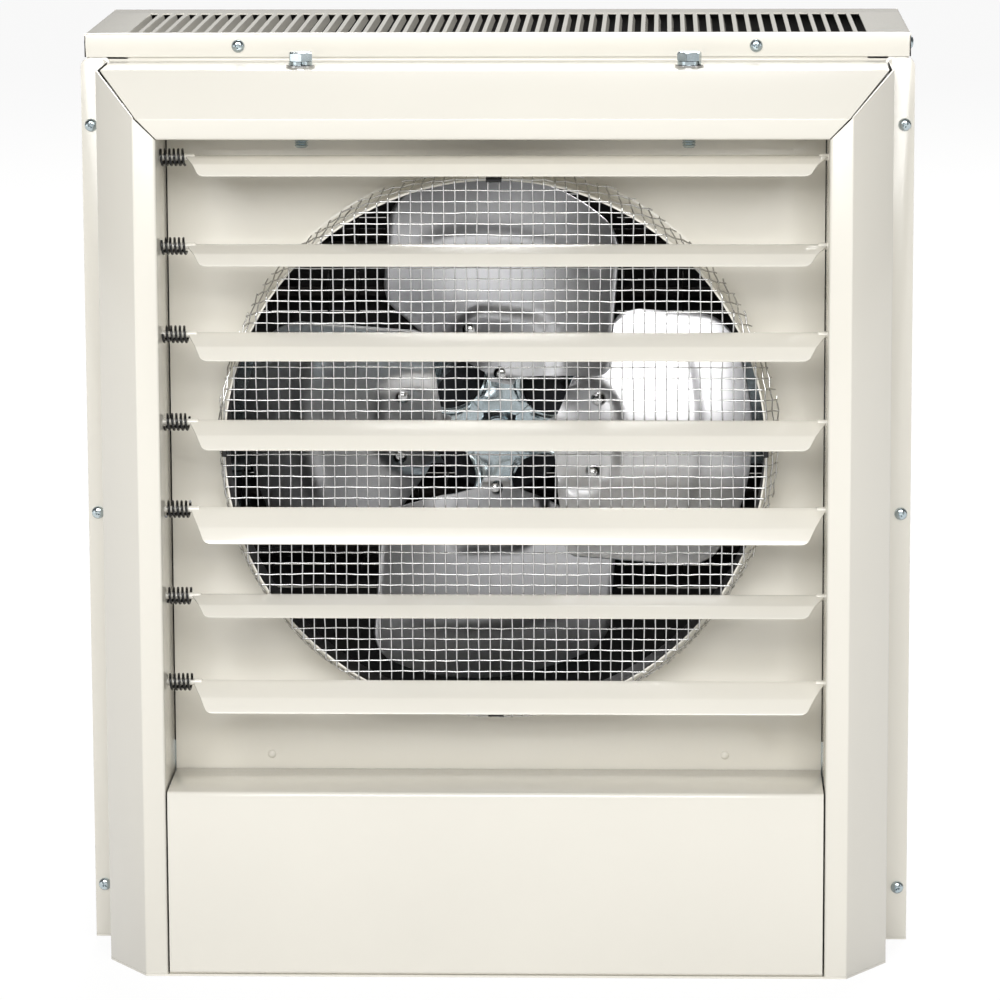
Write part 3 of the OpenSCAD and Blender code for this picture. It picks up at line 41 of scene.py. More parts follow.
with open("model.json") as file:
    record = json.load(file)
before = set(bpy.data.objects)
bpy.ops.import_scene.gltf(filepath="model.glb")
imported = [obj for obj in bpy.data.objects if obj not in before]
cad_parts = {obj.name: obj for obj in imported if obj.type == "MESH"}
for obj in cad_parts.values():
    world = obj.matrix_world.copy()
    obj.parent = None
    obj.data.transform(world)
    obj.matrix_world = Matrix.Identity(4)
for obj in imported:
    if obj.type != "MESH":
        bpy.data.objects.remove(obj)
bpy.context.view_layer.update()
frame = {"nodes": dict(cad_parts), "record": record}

# Millimetres of the source, with depths measured back from the outlet frame's face
MM = 0.001
FACE_Y = -128.2
SHEET = 1.2
BEND_R = 1.5
COVER_HALF = 238.8
COVER_TOP = 539.0
CASE_D = 254.0
LIP_Z = 525.4
FLANGE_HALF = 241.3
FLANGE_D = 88.0
FLANGE_TOP = 524.7
SIDE_HALF = 237.6
FRAME_HALF = 227.0
BORDER_HALF = 202.8
OPENING_HALF = 189.9
OPENING_TOP = 486.7
BORDER_TOP = 498.5
FRAME_TOP = 522.7
BEVEL_D = 36.0
RECESS_D = 62.0
RETURN_W = 9.0
PANEL_TOP = 109.6
PANEL_FLANGE_D = 40.0
SEAM = 0.9
SHELF_Z = 100.0
AXIS_Z = 305.8
COLLAR_R = 154.8
RIM_D = 27.0
FAN_D = 94.0
FAN_R = 149.0
FAN_TURN = 4.5
BLADE_PITCH = 29.0
LOUVER_D = 23.0
LOUVER_TOP = 474.5
LOUVER_PITCH = 50.8
LOUVER_TILTS = (13, 14, 24, 26, 39, 13, 30)
SPRING_LEN = 15.3
BOLT_X = 111.0
BOLT_D = 52.0
COVER_SCREW_Z = 531.7
HAIR = 1e-6
FLIP = Matrix.Scale(-1, 4, (1, 0, 0))


def spot(x, d, z):
    """A place in the frame's metres from millimetres across, back from the face, and up."""
    return Vector((x, d + FACE_Y, z)) * MM


def spin(angle, axis):
    """A turn about one of the axes."""
    return Matrix.Rotation(angle, 4, axis)


def evenly(start, end, steps):
    """Numbers from start to end in equal steps."""
    return [start + i * (end - start) / steps for i in range(steps + 1)]


# Modelling helpers


def leave_edit():
    """Goes back to object mode."""
    if bpy.context.object and bpy.context.object.mode != "OBJECT":
        bpy.ops.object.mode_set(mode="OBJECT")


def extrude(way):
    """Extrudes what is selected by the given way."""
    bpy.ops.mesh.extrude_region_move(TRANSFORM_OT_translate={"value": way})


def round_edges(radius, segments):
    """Rounds the selected edges, with the radius in millimetres."""
    bpy.ops.mesh.bevel(offset=radius * MM, segments=segments, affect="EDGES", clamp_overlap=False)


def pick(action="SELECT"):
    """Selects all or nothing of the mesh that is being edited."""
    bpy.ops.mesh.select_all(action=action)


def make_only(piece):
    """Selects one object alone and makes it the active one."""
    bpy.ops.object.select_all(action="DESELECT")
    piece.select_set(True)
    bpy.context.view_layer.objects.active = piece


def begin(name, add, **settings):
    """Adds a primitive with nothing else selected and opens it for editing."""
    leave_edit()
    bpy.ops.object.select_all(action="DESELECT")
    add(**settings)
    piece = bpy.context.object
    piece.name = piece.data.name = name
    bpy.ops.object.mode_set(mode="EDIT")
    return piece


def begin_edge(name):
    """Starts a piece as one edge along x, selected for extruding."""
    piece = begin(name, bpy.ops.mesh.primitive_plane_add, size=1)
    choose(piece, lambda co: co.y > 0)
    bpy.ops.mesh.delete(type="VERT")
    pick()
    bpy.ops.mesh.select_mode(type="EDGE")
    return piece


def choose_open_edges():
    """Selects the edges round a piece's openings."""
    bpy.ops.mesh.select_mode(type="EDGE")
    pick("DESELECT")
    bpy.ops.mesh.select_non_manifold()


def choose(piece, test, kind="VERT"):
    """Selects the vertices, edges or faces whose middle passes the test."""
    bpy.ops.mesh.select_mode(type=kind)
    pick("DESELECT")
    mesh = bmesh.from_edit_mesh(piece.data)
    for item in {"VERT": mesh.verts, "EDGE": mesh.edges, "FACE": mesh.faces}[kind]:
        ends = [item.co] if kind == "VERT" else [v.co for v in item.verts]
        if test(sum(ends, Vector()) / len(ends)):
            item.select_set(True)
    mesh.select_flush_mode()
    bmesh.update_edit_mesh(piece.data)


def move_each(piece, rule, chosen_only=True):
    """Moves vertices to where the rule puts them."""
    mesh = bmesh.from_edit_mesh(piece.data)
    for v in mesh.verts:
        if v.select or not chosen_only:
            v.co = rule(v.co)
    bmesh.update_edit_mesh(piece.data)


def face_towards(piece, way):
    """Makes the normals of an open sheet agree and face the given way on the whole."""
    pick()
    bpy.ops.mesh.normals_make_consistent(inside=False)
    mesh = bmesh.from_edit_mesh(piece.data)
    if sum(f.normal.dot(Vector(way)) * f.calc_area() for f in mesh.faces) < 0:
        bpy.ops.mesh.flip_normals()


def modify(piece, kind, **settings):
    """Adds a modifier and applies it."""
    bpy.context.view_layer.objects.active = piece
    piece.select_set(True)
    bpy.ops.object.modifier_add(type=kind)
    modifier = piece.modifiers[-1]
    for key, value in settings.items():
        setattr(modifier, key, value)
    bpy.ops.object.modifier_apply(modifier=modifier.name)


def combine(piece, tool, operation):
    """Cuts a piece with another one, or keeps what they share, and takes the other one away."""
    modify(piece, "BOOLEAN", operation=operation, object=tool, solver="EXACT")
    bpy.data.objects.remove(tool)


def close_edit(piece, smooth=35):
    """Leaves edit mode and shades the piece smooth up to an angle."""
    leave_edit()
    make_only(piece)
    bpy.ops.object.shade_smooth_by_angle(angle=math.radians(smooth))


def thicken(piece, way, thickness, edge=0.25, inward=-1, paint_shade_inside=False, smooth=35):
    """Gives a sheet that faces the given way its thickness and eased edges. With paint_shade_inside its inner
    faces get a near-black finish, painted shade for the dark inside of the cabinet.
    """
    face_towards(piece, way)
    leave_edit()
    # The second finish goes on the inner faces as painted shade.
    if paint_shade_inside:
        piece.data.materials.append(FINISHES["cream_paint"])
        piece.data.materials.append(FINISHES["painted_shade_inside"])
    modify(piece, "SOLIDIFY", thickness=thickness * MM, offset=inward, material_offset=1 if paint_shade_inside else 0)
    if edge:
        modify(piece, "BEVEL", width=edge * MM, segments=2, limit_method="ANGLE",
               angle_limit=math.radians(60))
    close_edit(piece, smooth)


def dress(piece, body, slot, node):
    """Gives a finished piece its finish, its body and the node that it stands for."""
    if not piece.data.materials:
        piece.data.materials.append(FINISHES[slot])
    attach(piece, body)
    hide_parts(node)


def dress_sheet(piece, node):
    """Dresses one of the cabinet's painted sheets."""
    dress(piece, "cabinet", "cream_paint", node)


def copy_of(piece, name, place):
    """A copy with its own mesh, moved by the place."""
    twin = piece.copy()
    twin.data = piece.data.copy()
    twin.data.transform(place)
    if place.determinant() < 0:
        twin.data.flip_normals()
    twin.name = twin.data.name = name
    bpy.context.collection.objects.link(twin)
    return twin


def join(name, pieces):
    """Joins pieces into one."""
    leave_edit()
    make_only(pieces[0])
    for piece in pieces:
        piece.select_set(True)
    bpy.ops.object.join()
    pieces[0].name = pieces[0].data.name = name
    return pieces[0]


def set_out(piece, name, places, body, slot, node):
    """Puts copies of a piece in its places and joins them, in place of the piece itself."""
    twins = [copy_of(piece, f"{name}_{i}", place) for i, place in enumerate(places)]
    bpy.data.objects.remove(piece)
    dress(join(name, twins), body, slot, node)


# Folded sheets get painted shade on their inner faces unless told otherwise.
def folded_sheet(name, path, put, run, way, radius=BEND_R, cuts=(), thickness=SHEET, rounded=None,
                 paint_shade_inside=True):
    """A sheet folded along a path, run between two places, cut, and thickened behind its face."""
    piece = begin_edge(name)
    move_each(piece, lambda co: put(*path[0], run[0] if co.x < 0 else run[1]))
    for here, there in zip(path, path[1:]):
        extrude(put(*there, 0) - put(*here, 0))
    for before, here, after in zip(path, path[1:], path[2:]):
        into, out = Vector(here) - Vector(before), Vector(after) - Vector(here)
        turn = into.angle(out)
        middle = put(*here, (run[0] + run[1]) / 2)
        choose(piece, lambda co: (co - middle).length < 10 * HAIR, "EDGE")
        round_edges(radius * math.tan(turn / 2), 4)
    for place, normal in cuts:
        pick()
        bpy.ops.mesh.bisect(plane_co=place, plane_no=normal, clear_outer=True, use_fill=False)
    if rounded:
        choose(piece, rounded[0])
        bpy.ops.mesh.bevel(offset=rounded[1] * MM, segments=6, affect="VERTICES")
    thicken(piece, way, thickness, paint_shade_inside=paint_shade_inside)
    return piece


def grid_sheet(name, across, along, put):
    """A sheet divided along the given lines, with each crossing put in place."""
    last_x, last_y = len(across) - 1, len(along) - 1
    piece = begin(name, bpy.ops.mesh.primitive_grid_add, x_subdivisions=last_x, y_subdivisions=last_y, size=1)
    move_each(piece, lambda co: put(across[round((co.x + 0.5) * last_x)],
                                    along[round((co.y + 0.5) * last_y)]), False)
    return piece


def turned(name, profile, centre=(0, 0, 0), axis=(0, 0, 1), steps=32, closed=False, smooth=35):
    """A piece turned from a profile of radius and distance along the axis."""
    piece = begin(name, bpy.ops.mesh.primitive_plane_add, size=1)
    choose(piece, lambda co: co.x > 0 or co.y > 0)
    bpy.ops.mesh.delete(type="VERT")
    side = Vector(axis).orthogonal().normalized()
    along = Vector(axis).normalized()
    points = [Vector(centre) + side * r * MM + along * h * MM for r, h in profile]
    pick()
    move_each(piece, lambda co: points[0])
    bpy.ops.mesh.select_mode(type="VERT")
    for here, there in zip(points, points[1:]):
        extrude(there - here)
    if closed:
        pick()
        bpy.ops.mesh.remove_doubles(threshold=HAIR)
    pick()
    bpy.ops.mesh.spin(steps=steps, angle=2 * math.pi, center=centre, axis=axis)
    pick()
    bpy.ops.mesh.remove_doubles(threshold=2 * HAIR)
    bpy.ops.mesh.normals_make_consistent(inside=False)
    close_edit(piece, smooth)
    return piece


# Finishes

FINISHES = {}
COAT_ROUGHNESS = 0.12
BUMP_HEIGHT = 0.001


def linear(colour):
    """Scene colour of a colour given as 0 to 255."""
    shares = [c / 255 for c in colour]
    return [s / 12.92 if s <= 0.04045 else ((s + 0.055) / 1.055) ** 2.4 for s in shares] + [1.0]


def fill_in(node, values):
    """Sets a node's inputs by their names."""
    for name, value in values.items():
        node.inputs[name].default_value = value


def wire_up(link, *pairs):
    """Links outputs to inputs, each given as a node and its socket's name."""
    for source, outlet, target, inlet in pairs:
        link(source.outputs[outlet], target.inputs[inlet])


def mix_for_camera(tree, others, seen, out, ray, share=1.0):
    """Shows one shader to the camera and to one more kind of ray, and another to the rest."""
    mix, path, either, part = (tree.nodes.new(kind) for kind in (
        "ShaderNodeMixShader", "ShaderNodeLightPath", "ShaderNodeMath", "ShaderNodeMath"))
    either.operation, part.operation = "MAXIMUM", "MULTIPLY"
    part.inputs[1].default_value = share
    wire_up(tree.links.new, (path, "Is Camera Ray", either, 0), (path, ray, either, 1), (either, 0, part, 0),
            (part, 0, mix, "Fac"), (others, 0, mix, 1), (seen, 0, mix, 2), (mix, 0, out, "Surface"))


def surface_group():
    """Patches of tone and roughness and a fine grain, worked out from the place on the piece."""
    group = bpy.data.node_groups.new("Patches and grain", "ShaderNodeTree")
    for way, kind, names in (("INPUT", "Color", ("Light", "Dark")),
                             ("INPUT", "Float", ("Patch scale", "Smooth", "Rough", "Grain scale")),
                             ("OUTPUT", "Color", ("Colour",)), ("OUTPUT", "Float", ("Roughness", "Height"))):
        for name in names:
            group.interface.new_socket(name=name, in_out=way, socket_type=f"NodeSocket{kind}")
    node, link = group.nodes.new, group.links.new
    inn, out = node("NodeGroupInput"), node("NodeGroupOutput")
    coords = node("ShaderNodeTexCoord")
    patch, grain = node("ShaderNodeTexNoise"), node("ShaderNodeTexNoise")
    spread, tone, rough = node("ShaderNodeMapRange"), node("ShaderNodeMix"), node("ShaderNodeMapRange")
    fill_in(patch, {"Detail": 4.0})
    fill_in(grain, {"Detail": 2.0})
    fill_in(spread, {"From Min": 0.3, "From Max": 0.7})
    tone.data_type = "RGBA"
    wire_up(link, (coords, "Object", patch, "Vector"), (coords, "Object", grain, "Vector"),
            (inn, "Patch scale", patch, "Scale"), (inn, "Grain scale", grain, "Scale"),
            (patch, "Fac", spread, "Value"), (spread, "Result", tone, "Factor"), (inn, "Dark", tone, "A"),
            (inn, "Light", tone, "B"), (grain, "Fac", rough, "Value"), (inn, "Smooth", rough, "To Min"),
            (inn, "Rough", rough, "To Max"), (tone, "Result", out, "Colour"),
            (rough, "Result", out, "Roughness"), (grain, "Fac", out, "Height"))


def finish(slot, light, dark, smooth, rough, metal=0.0, patch=20.0, grain=800.0, bump=0.02, coat=0.0):
    """A finish with patches of tone, uneven gloss and a fine grain."""
    material = bpy.data.materials.new(slot)
    material.use_nodes = True
    nodes, link = material.node_tree.nodes, material.node_tree.links.new
    shader = nodes["Principled BSDF"]
    fill_in(shader, {"Metallic": metal, "Coat Weight": coat, "Coat Roughness": COAT_ROUGHNESS})
    surface = nodes.new("ShaderNodeGroup")
    surface.node_tree = bpy.data.node_groups["Patches and grain"]
    fill_in(surface, {"Light": linear(light), "Dark": linear(dark), "Patch scale": patch,
                      "Smooth": smooth, "Rough": rough, "Grain scale": grain})
    bumps = nodes.new("ShaderNodeBump")
    fill_in(bumps, {"Strength": bump, "Distance": BUMP_HEIGHT})
    wire_up(link, (surface, "Colour", shader, "Base Color"), (surface, "Roughness", shader, "Roughness"),
            (surface, "Height", bumps, "Height"), (bumps, "Normal", shader, "Normal"))
    FINISHES[slot] = material


# Sizes a user would change


class UnitHeaterSizes(PropertyGroup):
    """Sizes and colours of the heater's visible detail."""

    paint: FloatVectorProperty(
        name="Paint", description="Colour of the cabinet's paint, 0 to 1 as seen", subtype="COLOR", size=3,
        default=(0.87, 0.856, 0.816), min=0.0, max=1.0)
    guard_pitch: FloatProperty(
        name="Guard pitch", description="Spacing of the guard's wires",
        default=0.00635, min=0.004, unit="LENGTH")
    guard_wire: FloatProperty(
        name="Guard wire", description="Thickness of the guard's wires",
        default=0.0009, min=0.0004, unit="LENGTH")
    guard_fold: FloatProperty(
        name="Guard fold", description="Width of the cloth's edge folded over the collar",
        default=0.015, unit="LENGTH")
    spring_turns: FloatProperty(
        name="Spring turns", description="Turns of wire in a louver spring", default=5.5, min=2.0)
    spring_wire: FloatProperty(
        name="Spring wire", description="Thickness of the louver springs' wire",
        default=0.0015, unit="LENGTH")
    bead: FloatProperty(
        name="Bead", description="Height of the beads stamped in the fan", default=0.0012, unit="LENGTH")
    lamp: FloatProperty(
        name="Lamp", description="Power in watts that the lamps share", default=56.0, min=0.0, unit="POWER")


def sizes():
    return bpy.context.scene.unit_heater


class PieceOperator:
    """What the operators below share. They run in the order in which they stand here."""

    bl_options = {"REGISTER", "UNDO"}

    def execute(self, context):
        self.make()
        return {"FINISHED"}


# Finishes and stage


class UNITHEATER_OT_finishes(PieceOperator, Operator):
    """Makes the finishes and gives each node of the frame its own"""

    bl_idname = "unitheater.finishes"
    bl_label = "Finishes"

    def make(self):
        surface_group()
        paint = [255 * c for c in sizes().paint]
        paint_dark = [c * 0.985 for c in paint]
        finish("cream_paint", paint, paint_dark, 0.2, 0.26, patch=7, grain=700, bump=0.006, coat=0.5)
        # Near-black finish for the inner faces of the folded sheets: painted shade for the dark inside of the
        # cabinet.
        finish("painted_shade_inside", (40, 38, 36), (30, 29, 28), 0.5, 0.6, patch=20, grain=900)
        finish("zinc_plate", (200, 210, 213), (166, 180, 186), 0.16, 0.26, 1.0,
               patch=60, grain=500, bump=0.01)
        finish("bright_steel", (214, 214, 212), (190, 190, 190), 0.1, 0.16, 1.0,
               patch=90, grain=700, bump=0.004)
        finish("aluminium_sheet", (242, 241, 243), (228, 228, 231), 0.27, 0.31, 1.0,
               patch=11, grain=260, bump=0.003)
        finish("black_spring_steel", (20, 20, 21), (10, 10, 11), 0.16, 0.26, patch=150, grain=1200, bump=0.004)
        finish("dark_steel", (70, 71, 74), (46, 47, 50), 0.4, 0.6, 1.0, patch=40, grain=600, bump=0.05)
        finish("copper", (176, 104, 62), (140, 76, 44), 0.3, 0.45, 1.0, patch=60, grain=900)
        # Dark brown-grey sheath: partly the steel's own colour, partly painted shade for the dark space behind
        # the fan.
        finish("element_sheath", (62, 56, 52), (38, 35, 33), 0.4, 0.6, 0.6, patch=70, grain=700, bump=0.04)
        finish("ceramic_white", (226, 222, 210), (212, 206, 192), 0.25, 0.4, patch=80, grain=900)
        finish("black_plastic", (38, 39, 42), (28, 29, 32), 0.42, 0.58, patch=60, grain=1400, bump=0.05)
        finish("red_insulation", (168, 50, 44), (140, 38, 34), 0.35, 0.5, patch=60, grain=900)
        finish("black_insulation", (32, 32, 34), (22, 22, 24), 0.38, 0.5, patch=60, grain=900)
        for part in frame["record"]["subparts"]:
            for material_slot in frame["nodes"][part["node"]].material_slots:
                material_slot.material = FINISHES[part["material_slot"]]


class UNITHEATER_OT_stage(PieceOperator, Operator):
    """Makes the floor, the white surroundings, the lamps and the camera"""

    bl_idname = "unitheater.stage"
    bl_label = "Stage"

    def make(self):
        self.make_floor(size=24, own_light=1.08, own_light_share=0.86)
        self.make_room(brightness=0.14)
        self.hang_lamps(Vector((0, 0, 0.28)))
        self.place_camera(Vector((0.0961, -2.9782, 0.8)), yaw=0.0324, pitch=0.18, roll=-0.004, lens=183.3)
        bpy.context.scene.view_settings.view_transform = "Standard"

    def make_floor(self, size, own_light, own_light_share):
        """A pale floor that the camera and gloss see near white, with the object's shadow left on it"""
        floor = begin("floor", bpy.ops.mesh.primitive_plane_add, size=size)
        close_edit(floor)
        pale = bpy.data.materials.new("pale_floor")
        pale.use_nodes = True
        nodes = pale.node_tree.nodes
        shader, glow = nodes["Principled BSDF"], nodes.new("ShaderNodeEmission")
        fill_in(shader, {"Base Color": (0.58, 0.575, 0.565, 1), "Roughness": 0.9, "Specular IOR Level": 0.0})
        fill_in(glow, {"Strength": own_light})
        out = nodes["Material Output"]
        mix_for_camera(pale.node_tree, shader, glow, out, "Is Glossy Ray", own_light_share)
        floor.data.materials.append(pale)

    def make_room(self, brightness):
        """Soft light from all round, and white where the camera sees past the floor"""
        world = bpy.data.worlds.new("white_room")
        bpy.context.scene.world = world
        world.use_nodes = True
        nodes = world.node_tree.nodes
        nodes.clear()
        soft, back = nodes.new("ShaderNodeBackground"), nodes.new("ShaderNodeBackground")
        out = nodes.new("ShaderNodeOutputWorld")
        fill_in(soft, {"Color": (0.98, 0.985, 1.0, 1), "Strength": brightness})
        fill_in(back, {"Color": (1, 1, 1, 1)})
        mix_for_camera(world.node_tree, soft, back, out, "Is Transmission Ray")

    def hang_lamps(self, middle):
        """Broad lamps that face the object, each with its place, size and share of the power"""
        lamps = (("front_lamp", (-0.1, -3.5, 2.1), (3.2, 2.0), 3.0),
                 ("right_lamp", (2.8, -1.8, 0.8), (1.0, 1.3), 0.1),
                 ("left_lamp", (-2.7, -1.9, 0.45), (1.6, 0.9), 0.12),
                 ("back_lamp", (0.4, 3.2, 2.7), (2.4, 1.0), 2.5),
                 ("top_lamp", (0.1, 0.9, 2.5), (1.2, 0.8), 0.5))
        for name, place, (width, height), share_of_lamp in lamps:
            data = bpy.data.lights.new(name, "AREA")
            data.shape = "RECTANGLE"
            data.size, data.size_y = width, height
            data.energy = sizes().lamp * share_of_lamp
            lamp = bpy.data.objects.new(name, data)
            bpy.context.collection.objects.link(lamp)
            lamp.location = place
            lamp.rotation_euler = (middle - Vector(place)).to_track_quat("-Z", "Y").to_euler()

    def place_camera(self, place, yaw, pitch, roll, lens):
        """The camera at the photograph's place and angle"""
        data = bpy.data.cameras.new("camera")
        data.sensor_width = 36.0
        data.lens = lens
        camera = bpy.data.objects.new("camera", data)
        bpy.context.collection.objects.link(camera)
        camera.matrix_world = (Matrix.Translation(place) @ spin(yaw, "Z")
                               @ spin(math.pi / 2 - pitch, "X") @ spin(roll, "Z"))
        bpy.context.scene.camera = camera


# Cabinet


def x_run(a, d, x):
    """A place of a section that is given as height and depth and runs across."""
    return spot(x, d, a)


class UNITHEATER_OT_outlet_frame(PieceOperator, Operator):
    """Folds the outlet frame's top and sides and cuts their mitres"""

    bl_idname = "unitheater.outlet_frame"
    bl_label = "Outlet frame"

    def make(self):
        inner_gap, outer_gap, corner_r, upstand_gap = 0.7, 2.8, 5, 2

        def mitre(inner_half, outer_half):
            """A cut from the opening's corner to the frame's, as a place and the normal"""
            way = Vector((outer_half - inner_half, 0, FRAME_TOP - OPENING_TOP))
            return spot(inner_half, 0, OPENING_TOP), Vector((way.z, 0, -way.x)).normalized()

        upstand = COVER_TOP - SHEET - upstand_gap
        top_path = [(OPENING_TOP + RETURN_W, RECESS_D), (OPENING_TOP, RECESS_D), (OPENING_TOP, 0),
                    (BORDER_TOP, 0), (FRAME_TOP, BEVEL_D), (FRAME_TOP, FLANGE_D + SHEET),
                    (upstand, FLANGE_D + SHEET)]
        place, normal = mitre(OPENING_HALF - inner_gap, FRAME_HALF - outer_gap)
        top = folded_sheet("outlet_frame_top", top_path, x_run, (-FRAME_HALF, FRAME_HALF), (0, -1, 0),
                           cuts=[(place, normal), (FLIP @ place, FLIP @ normal)])
        dress_sheet(top, "frame_top")
        side_path = [(OPENING_HALF + RETURN_W, RECESS_D), (OPENING_HALF, RECESS_D), (OPENING_HALF, 0),
                     (BORDER_HALF, 0), (FRAME_HALF, BEVEL_D), (FRAME_HALF, FLANGE_D), (FLANGE_HALF, FLANGE_D)]
        corner = spot(FLANGE_HALF, FLANGE_D, FLANGE_TOP)
        place, normal = mitre(OPENING_HALF, FRAME_HALF)
        right = folded_sheet("outlet_frame_right", side_path, spot, (SHEET, FLANGE_TOP), (0, -1, 0),
                             cuts=[(place, -normal)],
                             rounded=(lambda co: (co - corner).length < 10 * HAIR, corner_r))
        dress_sheet(copy_of(right, "outlet_frame_left", FLIP), "frame_left")
        dress_sheet(right, "frame_right")


class UNITHEATER_OT_panels(PieceOperator, Operator):
    """Folds the access panel below the outlet and the two side panels"""

    bl_idname = "unitheater.panels"
    bl_label = "Access panel and sides"

    def make(self):
        half, fold_r = OPENING_HALF - SEAM, 2.4
        path = [(PANEL_TOP, RECESS_D - SEAM), (PANEL_TOP, 0), (SHEET, 0), (SHEET, PANEL_FLANGE_D)]
        panel = folded_sheet("plain_access_panel", path, x_run, (-half, half), (0, -1, 0), radius=fold_r)
        dress_sheet(panel, "access_panel")
        front, rear, flange_end = FLANGE_D + SHEET, CASE_D - 2 * SHEET, SIDE_HALF - 24
        path = [(flange_end, front), (SIDE_HALF, front), (SIDE_HALF, rear), (flange_end, rear)]
        right = folded_sheet("cabinet_side_right", path, spot, (SHEET, COVER_TOP - SHEET), (1, 0, 0))
        dress_sheet(copy_of(right, "cabinet_side_left", FLIP), "left_side_panel")
        dress_sheet(right, "right_side_panel")


class UNITHEATER_OT_top_cover(PieceOperator, Operator):
    """Shapes the slotted cover with its lanced flaps and four lips"""

    bl_idname = "unitheater.top_cover"
    bl_label = "Top cover"

    def make(self):
        slots, slot_w, margin, front_margin, slot_len = 56, 5.2, 24.0, 7, 129
        flap_steps, edge_r, thin_share = ((0.6, -2.2), (0.7, -2.2)), 1.3, 0.7
        pitch = 2 * (COVER_HALF - margin) / slots
        middles = [(i - (slots - 1) / 2) * pitch for i in range(slots)]
        across = [-COVER_HALF] + [x for m in middles for x in (m - slot_w / 2, m + slot_w / 2)] + [COVER_HALF]
        back = [FLANGE_D, FLANGE_D + front_margin, FLANGE_D + front_margin + slot_len, CASE_D]
        piece = grid_sheet("slotted_cover", across, back, lambda x, d: spot(x, d, COVER_TOP))
        lefts = across[1:-1:2]
        in_slots = lambda co: any(left < co.x / MM < left + slot_w for left in lefts)
        front, rear = spot(0, back[1], 0).y, spot(0, back[2], 0).y
        choose(piece, lambda co: front < co.y < rear and in_slots(co), "FACE")
        bpy.ops.mesh.delete(type="FACE")
        edges = [left * MM for left in lefts]
        choose(piece, lambda co: front < co.y < rear and any(abs(co.x - e) < HAIR for e in edges), "EDGE")
        for sideways, down in flap_steps:
            extrude((sideways * MM, 0, down * MM))
        sides = [(1, spot(0, d, 0).y) for d in (FLANGE_D, CASE_D)]
        sides += [(0, x * MM) for x in (-COVER_HALF, COVER_HALF)]
        on_side = lambda co: abs(co[axis] - at) < HAIR and co.z > COVER_TOP * MM - HAIR
        for axis, at in sides:
            choose(piece, on_side, "EDGE")
            extrude((0, 0, (LIP_Z - COVER_TOP) * MM))
        for axis, at in sides:
            choose(piece, on_side, "EDGE")
            round_edges(edge_r, 3)
        thicken(piece, (0, 0, 1), SHEET * thin_share, edge=0)
        dress_sheet(piece, "top_cover")


class UNITHEATER_OT_back_panel(PieceOperator, Operator):
    """Lances the back panel's air inlet and cuts its round holes"""

    bl_idname = "unitheater.back_panel"
    bl_label = "Back panel"

    def make(self):
        columns, rows, slot_h, bar, side_margin, end_margins = 3, 20, 6.0, 14.0, 54, 88
        flap_in, flap_down, thin_share = 1.9, 5.6, 0.8
        hole_r, hole_places, drill_len = 11.1, (-150, -95), 20
        column_pitch = 2 * (SIDE_HALF - side_margin) / columns
        row_pitch = (OPENING_TOP - PANEL_TOP - end_margins) / rows
        slot_w = column_pitch - bar
        depth = CASE_D - SHEET
        across = [(j - 1) * column_pitch + s * slot_w / 2 for j in range(columns) for s in (-1, 1)]
        across = [-SIDE_HALF] + across + [SIDE_HALF]
        up = [AXIS_Z + (i - (rows - 1) / 2) * row_pitch + s * slot_h / 2 for i in range(rows) for s in (-1, 1)]
        up = [0] + up + [COVER_TOP - SHEET]
        panel = grid_sheet("slotted_back", across, up, lambda x, z: spot(x, depth, z))
        in_column = lambda x: any(a < x / MM < b for a, b in zip(across[1:-1:2], across[2:-1:2]))
        in_row = lambda z: any(a < z / MM < b for a, b in zip(up[1:-1:2], up[2:-1:2]))
        choose(panel, lambda co: in_column(co.x) and in_row(co.z), "FACE")
        bpy.ops.mesh.delete(type="FACE")
        on_top_edge = lambda z: any(abs(z - top * MM) < 10 * HAIR for top in up[2:-1:2])
        choose(panel, lambda co: in_column(co.x) and on_top_edge(co.z), "EDGE")
        extrude((0, -flap_in * MM, -flap_down * MM))
        # Painted shade on the back panel's inner faces.
        thicken(panel, (0, 1, 0), SHEET * thin_share, edge=0, paint_shade_inside=True)
        for x in hole_places:
            drill = begin("drill", bpy.ops.mesh.primitive_cylinder_add, vertices=40, radius=hole_r * MM,
                          depth=drill_len * MM, location=spot(x, depth, PANEL_TOP / 2),
                          rotation=(math.pi / 2, 0, 0))
            leave_edit()
            combine(panel, drill, "DIFFERENCE")
        close_edit(panel)
        dress_sheet(panel, "back_panel")


